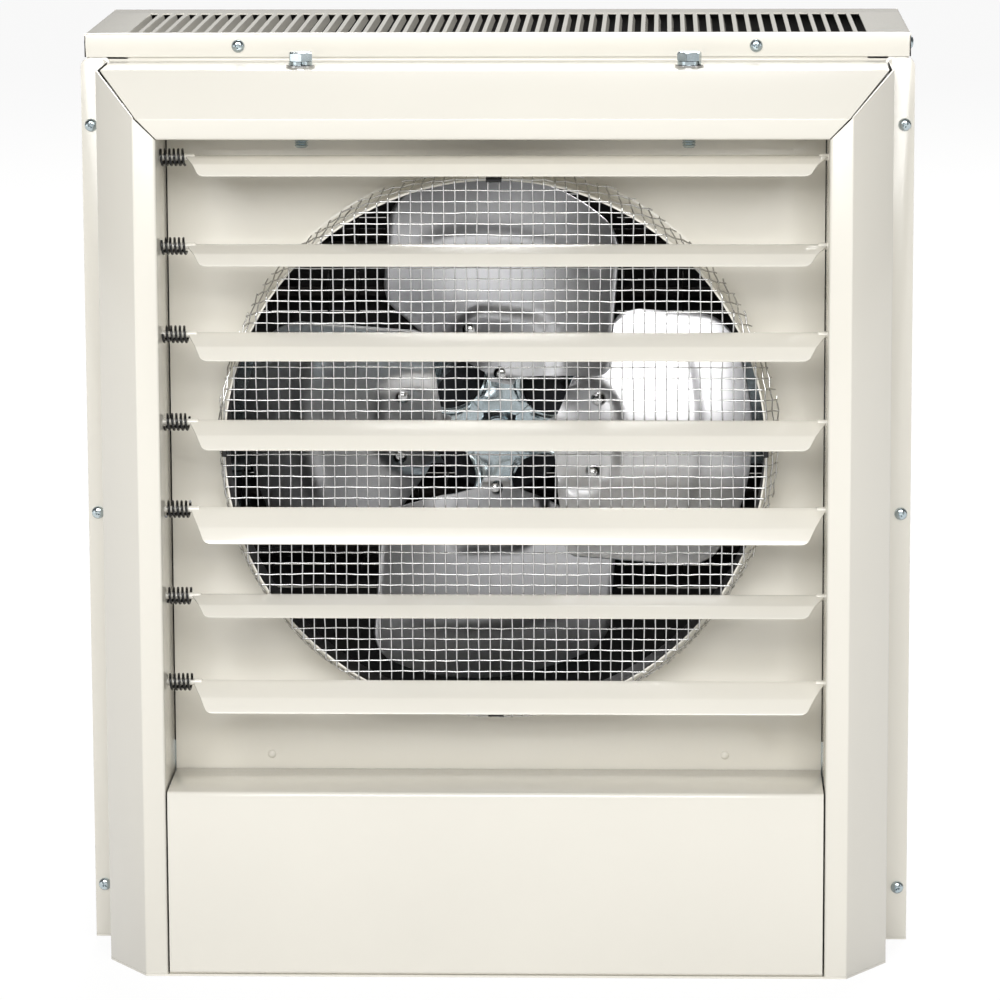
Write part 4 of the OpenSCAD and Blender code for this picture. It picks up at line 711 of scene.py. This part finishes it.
class UNITHEATER_OT_fan_baffle(PieceOperator, Operator):
    """Draws the collar forward from the baffle's plate in one smooth sheet"""

    bl_idname = "unitheater.fan_baffle"
    bl_label = "Fan baffle"

    def make(self):
        steps, outer, root, lip, past_root = 96, COLLAR_R + SHEET, 5.0, 8, 2
        groove, groove_end, hem = 0.5, 0.45, 4
        middle = spot(0, 0, AXIS_Z)
        piece = begin("baffle_and_collar", bpy.ops.mesh.primitive_circle_add, vertices=steps, radius=1,
                      fill_type="NOTHING")

        def outward(co):
            return Vector((co.x, 0, co.z - middle.z)).normalized()

        def ring(radius, depth):
            return lambda co: spot(0, depth, AXIS_Z) + outward(co) * radius * MM

        pick()
        move_each(piece, lambda co: Vector((co.x, 0, co.y + middle.z)))
        move_each(piece, ring(outer, RIM_D))
        bpy.ops.mesh.select_mode(type="EDGE")
        places = [(outer, RIM_D + lip), (outer, RECESS_D - root)]
        places += [(outer + root * (1 - math.cos(a)), RECESS_D - root * (1 - math.sin(a)))
                   for a in (math.pi / 8, math.pi / 4, 3 * math.pi / 8, math.pi / 2)]
        for radius, depth in places + [(outer + root + past_root, RECESS_D)]:
            bpy.ops.mesh.extrude_region_move()
            move_each(piece, ring(radius, depth))
        low, high = SHELF_Z - AXIS_Z, OPENING_TOP + RETURN_W - AXIS_Z

        def to_plate(co, half, depth):
            way = outward(co)
            reaches = [half / abs(way.x)] if abs(way.x) > HAIR else []
            reaches += [high / way.z] if way.z > HAIR else [low / way.z] if way.z < -HAIR else []
            edge = way * min(reaches)
            for corner in (Vector((s * half, 0, z)) for s in (-1, 1) for z in (low, high)):
                if (corner.normalized() - way).length < math.pi / steps * 1.01:
                    edge = corner
            return spot(edge.x, depth, AXIS_Z + edge.z)

        for half, depth in ((OPENING_HALF - groove, RECESS_D), (OPENING_HALF - groove_end, RECESS_D + hem)):
            bpy.ops.mesh.extrude_region_move()
            move_each(piece, lambda co: to_plate(co, half, depth))
        # Painted shade on the baffle's inner faces.
        thicken(piece, (0, -1, 0), SHEET, 0.3, paint_shade_inside=True)
        dress_sheet(piece, "fan_baffle")


# Louvers and their springs


def louver_place(i, x, turn):
    """Where a piece goes on a louver's axis, turned about it."""
    return Matrix.Translation(spot(x, LOUVER_D, LOUVER_TOP - i * LOUVER_PITCH)) @ spin(turn, "X")


class UNITHEATER_OT_louvers(PieceOperator, Operator):
    """Folds one louver with tapered ends, then copies it to its seven places and tilts"""

    bl_idname = "unitheater.louvers"
    bl_label = "Louvers"

    def make(self):
        left, right = -OPENING_HALF + SPRING_LEN, OPENING_HALF - 0.6
        rear, front, bend = 14.4, 10.1, 19
        corner_r, crease_r, sheet, edge = 3, 0.7, 1.0, 0.35
        pin_r, pin_in, tip = 1.9, 5, 0.5
        rows = ((left + 0.4, right - 0.4, 0.9), (left, right, -1.9),
                (left + 4.8, right - 6, -rear), (left + 8.8, right - 10.6, -rear - front))
        middle = (left + right) / 2 * MM
        blade = begin_edge("louver_blade")
        for row, (x0, x1, y) in enumerate(rows):
            if row:
                bpy.ops.mesh.extrude_region_move()
            move_each(blade, lambda co: Vector(((x0 if co.x < middle else x1) * MM, y * MM, 0)))
        choose(blade, lambda co: co.y < (-rear - front + 0.1) * MM)
        bpy.ops.mesh.bevel(offset=corner_r * MM, segments=6, affect="VERTICES")
        choose(blade, lambda co: co.y < (-rear - 0.1) * MM)
        hinge, fold = Vector((0, -rear * MM, 0)), Matrix.Rotation(math.radians(bend), 3, "X")
        move_each(blade, lambda co: hinge + fold @ (co - hinge))
        choose(blade, lambda co: abs(co.y + rear * MM) < 10 * HAIR, "EDGE")
        round_edges(crease_r, 3)
        thicken(blade, (0, 0, -1), sheet, edge)
        pieces = [blade]
        for start, end in ((-OPENING_HALF - SHEET, left + pin_in), (right - pin_in, OPENING_HALF + SHEET)):
            length = end - start
            profile = [(0, 0), (pin_r - tip, 0), (pin_r, tip), (pin_r, length - tip), (pin_r - tip, length),
                       (0, length)]
            pieces.append(turned("louver_pin", profile, (start * MM, 0, 0), (1, 0, 0), 20))
        blade = join("louver_blade", pieces)
        blade.data.materials.append(FINISHES["cream_paint"])
        for i, tilt in enumerate(LOUVER_TILTS):
            louver = copy_of(blade, f"folded_louver_{i + 1}", louver_place(i, 0, math.radians(tilt)))
            dress(louver, f"louver_{i + 1}_body", "cream_paint", f"louver_{i + 1}")
        bpy.data.objects.remove(blade)


class UNITHEATER_OT_louver_springs(PieceOperator, Operator):
    """Winds one spring with the screw modifier and copies it beside each louver"""

    bl_idname = "unitheater.louver_springs"
    bl_label = "Louver springs"

    def make(self):
        outer_r, squeeze, turn_between, steps_a_turn = 0.0052, 0.0008, 0.7, 20
        wire, turns = sizes().spring_wire, sizes().spring_turns
        run = SPRING_LEN * MM + squeeze - wire
        steps = int(steps_a_turn * turns)
        spring = begin("spring", bpy.ops.mesh.primitive_circle_add, vertices=10, radius=wire / 2,
                       fill_type="NOTHING")
        pick()
        move_each(spring, lambda co: Vector((co.x + wire / 2, 0, co.y + outer_r - wire / 2)))
        leave_edit()
        modify(spring, "SCREW", axis="X", angle=2 * math.pi * turns, screw_offset=run - wire / 2, steps=steps,
               render_steps=steps, use_merge_vertices=False)
        bpy.ops.object.mode_set(mode="EDIT")
        choose_open_edges()
        bpy.ops.mesh.fill()
        pick()
        bpy.ops.mesh.normals_make_consistent(inside=False)
        close_edit(spring, 50)
        places = [louver_place(i, -OPENING_HALF, turn_between * i) for i in range(len(LOUVER_TILTS))]
        set_out(spring, "black_louver_springs", places, "cabinet", "black_spring_steel", "louver_springs")


# Wire guard


class UNITHEATER_OT_wire_guard(PieceOperator, Operator):
    """Weaves the guard's mesh and folds its wire ends over the collar's rim"""

    bl_idname = "unitheater.wire_guard"
    bl_label = "Wire guard"

    def make(self):
        rng = random.Random(4)
        wire, pitch = sizes().guard_wire, sizes().guard_pitch
        rim = (COLLAR_R + SHEET) * MM + wire * 0.6
        edge = rim + sizes().guard_fold
        bend, rim_steps, rim_gap, edge_gap = 0.0012, (-0.0004, 0.0005, 0.0011), 0.0012, 0.002
        uneven_end, bow, waver, loose = 0.004, 0.0003, 0.0001, 0.0008
        mean_splay, splay_waves = 0.3, ((0.16, 1, 0.8), (0.07, 5, math.pi / 2 - 1), (0.04, 13, math.pi / 2))
        centre = spot(0, RIM_D, AXIS_Z) - Vector((0, wire, 0))
        curve = bpy.data.curves.new("woven_guard", "CURVE")
        curve.dimensions = "3D"
        curve.bevel_depth = wire / 2
        curve.bevel_resolution = 1
        curve.use_fill_caps = True
        count = int(edge / pitch) + 1

        def bent(flat, lift):
            """Where a point of the flat cloth goes once its edge is bent back over the rim."""
            r = flat.length
            if r <= rim:
                return centre + flat + Vector((0, lift, 0))
            way = flat / r
            angle = math.atan2(way.z, way.x)
            splay = mean_splay + sum(size * math.cos(n * angle - shift) for size, n, shift in splay_waves)
            past = r - rim
            turn = min(past / bend, 1) * (math.pi / 2 - splay)
            straight = max(past - bend, 0)
            near = min(past, bend)
            out = near * math.cos(turn / 2) + straight * math.cos(turn)
            back = near * math.sin(turn / 2) + straight * math.sin(turn)
            rise = Vector((0, back + lift * math.cos(turn), 0))
            return centre + way * (rim + out + lift * math.sin(turn)) + rise

        across, up = Vector((1, 0, 0)), Vector((0, 0, 1))
        for along, aside, first in ((across, up, 1), (up, across, -1)):
            for k in range(-count, count + 1):
                w = (k + 0.5) * pitch
                if abs(w) > edge - edge_gap:
                    continue
                ends = [math.sqrt(edge * edge - w * w) - rng.uniform(0, uneven_end) for _ in range(2)]
                over = [math.sqrt(rim * rim - w * w) + step for step in rim_steps] if abs(w) < rim else []
                wave = rng.uniform(-bow, bow)
                stops = [(m + 0.5) * pitch for m in range(-count - 1, count + 2)]
                stops = [t for t in stops if all(abs(abs(t) - o) > rim_gap for o in over)]
                stops += [s * o for o in over for s in (-1, 1)]
                stops = sorted(t for t in stops if -ends[0] < t < ends[1])
                if len(stops) < 2:
                    continue
                stops = [-ends[0]] + stops + [ends[1]]
                spline = curve.splines.new("POLY")
                spline.points.add(len(stops) - 1)
                for point, t in zip(spline.points, stops):
                    m = round(t / pitch - 0.5)
                    crossing = abs((m + 0.5) * pitch - t) < HAIR
                    lift = first * wire * 0.5 * (1 if (m + k) % 2 == 0 else -1) if crossing else 0
                    sway = wave * math.sin(m * 0.7 + k) + rng.uniform(-waver, waver)
                    if not crossing and abs(t) > rim:
                        sway += rng.uniform(-loose, loose)
                    point.co = (*bent(along * t + aside * (w + sway), lift), 1)
        guard = bpy.data.objects.new("woven_guard", curve)
        bpy.context.collection.objects.link(guard)
        make_only(guard)
        bpy.ops.object.convert(target="MESH")
        guard = bpy.context.object
        close_edit(guard, 70)
        dress(guard, "cabinet", "bright_steel", "wire_guard")


class UNITHEATER_OT_guard_clips(PieceOperator, Operator):
    """Folds one spring clip and copies it to four places on the rim"""

    bl_idname = "unitheater.guard_clips"
    bl_label = "Guard clips"

    def make(self):
        play, nose, leg, half_w, sheet, bend_r = 0.9, 1.9, 11, 4.5, 0.8, 0.9
        inner, outer = COLLAR_R - play, COLLAR_R + SHEET + play
        front, end = RIM_D - nose, RIM_D + leg
        path = [(inner, end), (inner, front), (outer, front), (outer, end)]
        clip = folded_sheet("clip", path, spot, (-half_w, half_w), (0, -1, 0), radius=bend_r, thickness=sheet,
                            paint_shade_inside=False)
        middle = Matrix.Translation((0, 0, AXIS_Z * MM))
        places = [middle @ spin(i * math.pi / 2, "Y") for i in range(4)]
        set_out(clip, "black_guard_clips", places, "cabinet", "black_spring_steel", "guard_clips")


# Fan


def arm_place(i, pitched=True):
    """Matrix from an arm's own axes, along, across and back, to the frame."""
    axes = Matrix(((1, 0, 0, 0), (0, 0, 1, 0), (0, -1, 0, 0), (0, 0, 0, 1)))
    turn = spin(math.radians(90 * i - 90 + FAN_TURN), "Z")
    pitch = spin(math.radians(-BLADE_PITCH if pitched else 0), "X")
    return Matrix.Translation(spot(0, FAN_D, AXIS_Z)) @ axes @ turn @ pitch


def notch_half(u):
    """Half width of an arm between the round notches."""
    centre, notch_r, straight, widest = 28.0, 16.5, 11.7, 27.0
    near = abs(u - centre)
    if u < centre - straight:
        return u
    return min(centre - math.sqrt(notch_r ** 2 - near ** 2) if near < notch_r else widest, widest)


def smooth_step(x, a, b):
    """Rises from 0 at a to 1 at b, level at both."""
    t = min(max((x - a) / (b - a), 0.0), 1.0)
    return t * t * (3 - 2 * t)


def swell(x, middle, width):
    """A rounded rise of 1 at the middle."""
    return math.exp(-((x - middle) / width) ** 2)


class UNITHEATER_OT_fan_hub(PieceOperator, Operator):
    """Turns the hub and shapes the spider's arm, then turns copies of the arm round the hub"""

    bl_idname = "unitheater.fan_hub"
    bl_label = "Fan hub and spider"

    def make(self):
        profile = [(4.02, -9.6), (4.4, -10), (8.6, -10), (9.2, -9.4), (9.4, -4), (12, -1.5), (12, 13),
                   (11, 14), (4.02, 14), (4.02, -9.6)]
        hub = turned("turned_fan_hub", profile, spot(0, FAN_D, AXIS_Z), (0, 1, 0), 40, closed=True)
        dress(hub, "fan", "zinc_plate", "fan_hub")
        shaft = turned("turned_fan_shaft", [(0, 0), (3.4, 0), (4, 0.6), (4, 87), (3.5, 88), (0, 88)],
                       spot(0, FAN_D - 8, AXIS_Z), (0, 1, 0), 28)
        dress(shaft, "fan", "bright_steel", "fan_shaft")
        rows, columns, sheet = 34, 20, 1.6
        root, taper, end, narrowing = 9.5, 57, 66, 0.14
        twisted, bead_start, bead_fade, bead_end = (16.5, 34), (15, 19), (23, 30), (42, 48)
        bead_rows = ((0.5, 0.55, 1.0), (2.6, 0.6, 0.75))
        bead = sizes().bead / MM

        def shape(u, t):
            half = notch_half(u) * (1 - narrowing * smooth_step(u, taper, end))
            across = t * half
            twist = math.radians(BLADE_PITCH) * smooth_step(u, *twisted)
            inset = half - abs(across)
            tall = (2.0 - smooth_step(u, *bead_fade)) * smooth_step(u, *bead_start)
            tall *= 1 - smooth_step(u, *bead_end)
            lift = -bead * tall * sum(share * swell(inset, place, width) for place, width, share in bead_rows)
            y = across * math.cos(twist) + lift * math.sin(twist)
            z = -across * math.sin(twist) + lift * math.cos(twist)
            return Vector((u, y, z)) * MM

        arm = grid_sheet("arm", evenly(root, end, rows), evenly(-1, 1, columns), shape)
        thicken(arm, (0, 0, -1), sheet, 0.3, smooth=45)
        places = [arm_place(i, False) for i in range(4)]
        set_out(arm, "stamped_fan_spider", places, "fan", "zinc_plate", "fan_spider")


class UNITHEATER_OT_fan_blades(PieceOperator, Operator):
    """Shapes one blade with its stamped beads and copies it to the four arms"""

    bl_idname = "unitheater.fan_blades"
    bl_label = "Fan blades"

    def make(self):
        us = [28, 30, 32, 33.5, 35, 36.5, 38, 39.5, 41, 42.5, 43.5, 44.5, 45.6, 47, 48.5, 50]
        us += [50 + 2.4 * i for i in range(1, 28)] + [116.5, 118, 119.5, 121, 122.5, 123.8, 125, 126, 127]
        half_w, corner_u, corner, end = 78, 115.0, 12.0, us[-1]
        rear = ((28, 8), (33.5, 10.6), (41, 34.3), (53, 56.6), (66, 75), (76, half_w), (corner_u, half_w))
        front = ((28, 8), (33.5, 10.6), (43.5, 70), (45.6, 75), (50, half_w), (corner_u, half_w))
        columns, camber, sheet, rim_start, seat = 44, 260.0, 1.2, 60, 0.15
        crease_u, crease_bow, crease_share, crease_fade = 104, 10, 0.9, (46, 66)
        pad_u, pad_half, pad_r, pad_side, pad_share = 48, 12, 20, 36, 1.7
        pad_edge, pad_start = (-1.5, 6.5), (30, 34)
        bead = sizes().bead / MM

        def width(u, edge):
            if u > corner_u:
                return half_w - corner + math.sqrt(max(corner ** 2 - (u - corner_u) ** 2, 0))
            for (u0, w0), (u1, w1) in zip(edge, edge[1:]):
                if u <= u1:
                    return w0 + (w1 - w0) * (u - u0) / (u1 - u0)

        def shape(u, t):
            y = width(u, front if t > 0 else rear) * t
            x = u + (math.sqrt(FAN_R ** 2 - y * y) - end) * smooth_step(u, rim_start, end)
            z = -camber + math.sqrt(camber ** 2 - y * y)
            crease = crease_u + crease_bow * math.cos((y - 6) / 40)
            z -= bead * crease_share * swell(x, crease, 4.5) * (1 - smooth_step(abs(y - 4), *crease_fade))
            side = abs(y - 2)
            pad = max(math.hypot(x - pad_u, max(side - pad_half, 0)) - pad_r, side - pad_side)
            z -= bead * pad_share * (1 - smooth_step(pad, *pad_edge)) * smooth_step(x, *pad_start)
            return Vector((x, y, z - seat)) * MM

        blade = grid_sheet("blade", us, evenly(-1, 1, columns), shape)
        thicken(blade, (0, 0, -1), sheet, inward=1, smooth=45)
        for i in range(4):
            twin = copy_of(blade, f"stamped_fan_blade_{i + 1}", arm_place(i))
            dress(twin, "fan", "aluminium_sheet", f"fan_blade_{i + 1}")
        bpy.data.objects.remove(blade)
        dome = [(0, -2.9), (1.4, -2.75), (2.8, -2.2), (3.9, -1.2), (4.4, 0), (2.4, 0), (2.4, 5.2), (4.2, 5.2),
                (3.6, 6.8), (0, 7.2)]
        rivet = turned("rivet", dome, steps=20)
        rivet_spots = ((34, 0, -3.0), (57, 22.5, -4.9), (57, -22.5, -4.9))
        on_arm = [Matrix.Translation(Vector(at) * MM) for at in rivet_spots]
        places = [arm_place(i) @ place for i in range(4) for place in on_arm]
        set_out(rivet, "domed_fan_rivets", places, "fan", "bright_steel", "fan_rivets")


# Bolts, washers and screws


class UNITHEATER_OT_hanging_bolts(PieceOperator, Operator):
    """Makes the chamfered hexagon bolts, their split washers and flat washers"""

    bl_idname = "unitheater.hanging_bolts"
    bl_label = "Hanging bolts and washers"

    def make(self):
        flat_h, lock_h, head_h, flats = 1.6, 2, 5.4, 12.7
        lock_z, seat = FRAME_TOP + flat_h, FRAME_TOP + flat_h + lock_h
        bolt = self.bolt(head_h, flats / 2, seat - OPENING_TOP + 9.9)
        lock = self.lock_washer(4.2, 6.8, lock_h)
        self.set_out_pair(bolt, seat, "hexagon_hanging_bolts", "zinc_plate", "hanging_bolts")
        self.set_out_pair(lock, lock_z, "split_lock_washers", "zinc_plate", "lock_washers")
        flat_profile = [(4.2, 0), (8.1, 0), (8.4, 0.3), (8.4, flat_h - 0.3), (8.1, flat_h), (4.2, flat_h),
                        (4.2, 0)]
        flat = turned("flat", flat_profile, steps=48, closed=True)
        self.set_out_pair(flat, FRAME_TOP, "round_flat_washers", "bright_steel", "flat_washers")

    def set_out_pair(self, piece, base, name, slot, node):
        """Puts a piece at both bolts, each turned a little differently"""
        places = [Matrix.Translation(spot(s * BOLT_X, BOLT_D, base)) @ spin(0.5 + 0.35 * s, "Z")
                  for s in (-1, 1)]
        set_out(piece, name, places, "cabinet", slot, node)

    def bolt(self, head_h, half, length):
        """A chamfered head on a threaded shank"""
        thread_pitch, rise, root_r, crest_r, point = 1.41, 1.4, 3.35, 3.93, 1.2
        head = begin("bolt_head", bpy.ops.mesh.primitive_cylinder_add, vertices=6,
                     radius=2 * half / math.sqrt(3) * MM, depth=head_h * MM)
        leave_edit()
        head.data.transform(Matrix.Translation((0, 0, head_h / 2 * MM)))
        profile = [(0, 0), (half - 0.2, 0), (half + 1.4, 0.5), (half + 1.4, head_h - 1.1),
                   (half - 0.6, head_h), (0, head_h)]
        combine(head, turned("barrel", profile, steps=48), "INTERSECT")
        modify(head, "BEVEL", width=0.0002, segments=2, limit_method="ANGLE", angle_limit=math.radians(25))
        z = -length + point
        threads = [(0, -length), (2.9, -length), (3.9, z)]
        while z < -1.5:
            threads += [(root_r, z + rise / 2), (crest_r, z + rise)]
            z += thread_pitch
        threads += [(3.95, -0.1), (3.95, 0.6), (0, 0.6)]
        return join("bolt", [head, turned("shank", threads, steps=24, smooth=60)])

    def lock_washer(self, inner, outer, height):
        """A ring cut through at the front, with one end lifted"""
        cut, lifted, lift = 0.0007, (0.0002, 0.0032), 0.0003
        profile = [(inner, 0), (outer, 0), (outer, height), (inner, height), (inner, 0)]
        lock = turned("lock", profile, steps=44, closed=True)
        bpy.ops.object.mode_set(mode="EDIT")
        choose(lock, lambda co: co.y < 0 and abs(co.x) < cut, "FACE")
        bpy.ops.mesh.delete(type="FACE")
        choose(lock, lambda co: co.y < 0 and lifted[0] < co.x < lifted[1])
        bpy.ops.transform.translate(value=(0, 0, lift))
        choose_open_edges()
        bpy.ops.mesh.edge_face_add()
        close_edit(lock)
        return lock


class UNITHEATER_OT_screws(PieceOperator, Operator):
    """Makes one cross-recessed pan-head screw and copies it to every screw place"""

    bl_idname = "unitheater.screws"
    bl_label = "Screws"

    def make(self):
        rng = random.Random(9)
        quarter = math.pi / 2
        ways = {"front": spin(quarter, "X"), "back": spin(-quarter, "X"),
                1: spin(quarter, "Y"), -1: spin(-quarter, "Y")}
        places = [Matrix.Translation(spot(x, d, z)) @ ways[way] @ spin(rng.uniform(0, quarter), "Z")
                  for x, d, z, way in self.screw_spots()]
        set_out(self.screw(), "pan_head_screws", places, "cabinet", "zinc_plate", "pan_screws")
        dome = [(0, 1.1), (1.2, 1.0), (2.0, 0.6), (2.5, 0.1), (2.5, -0.6), (0, -0.6)]
        painted = [turned("painted_screw", dome, spot(x, RECESS_D, 118.0), (0, -1, 0), 20)
                   for x in (-132.93, 132.93)]
        dress(join("painted_baffle_screws", painted), "cabinet", "cream_paint", "pan_screws")

    def screw(self):
        """A pan head on a short shank, with its cross cut in"""
        profile = [(0, 2.4), (1.6, 2.3), (2.8, 1.9), (3.5, 1.2), (3.8, 0.4), (3.7, 0), (2, 0), (2, -2.2),
                   (1.2, -3.1), (0, -3.2)]
        screw = turned("screw", profile, steps=20, smooth=50)
        width, length, floor, top, narrowing = 0.95, 3.6, 1.0, 3, 0.5
        for turn in (0, math.pi / 2):
            bar = begin("bar", bpy.ops.mesh.primitive_cube_add, size=1)
            move_each(bar, lambda co: Vector((co.x * length * (1 if co.z > 0 else narrowing), co.y * width,
                                              top if co.z > 0 else floor)) * MM, False)
            leave_edit()
            bar.data.transform(spin(turn, "Z"))
            combine(screw, bar, "DIFFERENCE")
        close_edit(screw, 50)
        return screw

    def screw_spots(self):
        """Each screw's place and the way that its head looks"""
        spots = []
        for s in (-1, 1):
            spots += [(s * 235.7, FLANGE_D, share * FLANGE_TOP, "front") for share in (0.061, 0.4905, 0.926)]
            spots += [(s * 149.69, FLANGE_D, COVER_SCREW_Z, "front")]
            spots += [(s * COVER_HALF, d, COVER_SCREW_Z, s) for d in (108.0, 232.8)]
            spots += [(s * SIDE_HALF, 210.5, AXIS_Z + z, s) for z in (-18, 18)]
            spots += [(s * 171.07, CASE_D, COVER_SCREW_Z, "back")]
            spots += [(s * 225.6, CASE_D - SHEET, z, "back") for z in (20, 269.5, 505.4)]
            spots += [(s * 194.4, RECESS_D + SHEET, AXIS_Z + z, "back") for z in (-120.67, 120.67)]
        spots += [(x, CASE_D - SHEET, AXIS_Z + z, "back") for x in (-166, 200) for z in (-101.2, 101.2)]
        return spots + [(x, RECESS_D + SHEET + 2.2, 470.0, "back") for x in (136, 164)]


# Panel and running


class UNITHEATER_PT_panel(Panel):
    """The heater's pieces, listed in the sidebar"""

    bl_label = "Unit heater"
    bl_space_type = "VIEW_3D"
    bl_region_type = "UI"
    bl_category = "Unit heater"

    def draw(self, context):
        for name in UnitHeaterSizes.__annotations__:
            self.layout.prop(context.scene.unit_heater, name)
        for operator in OPERATORS:
            self.layout.operator(operator.bl_idname)


OPERATORS = PieceOperator.__subclasses__()
CLASSES = (UnitHeaterSizes, *OPERATORS, UNITHEATER_PT_panel)


def register():
    for cls in CLASSES:
        bpy.utils.register_class(cls)
    bpy.types.Scene.unit_heater = PointerProperty(type=UnitHeaterSizes)


def unregister():
    del bpy.types.Scene.unit_heater
    for cls in reversed(CLASSES):
        bpy.utils.unregister_class(cls)


def main():
    register()
    for operator in OPERATORS:
        group, name = operator.bl_idname.split(".")
        getattr(getattr(bpy.ops, group), name)()


if __name__ == "__main__":
    main()
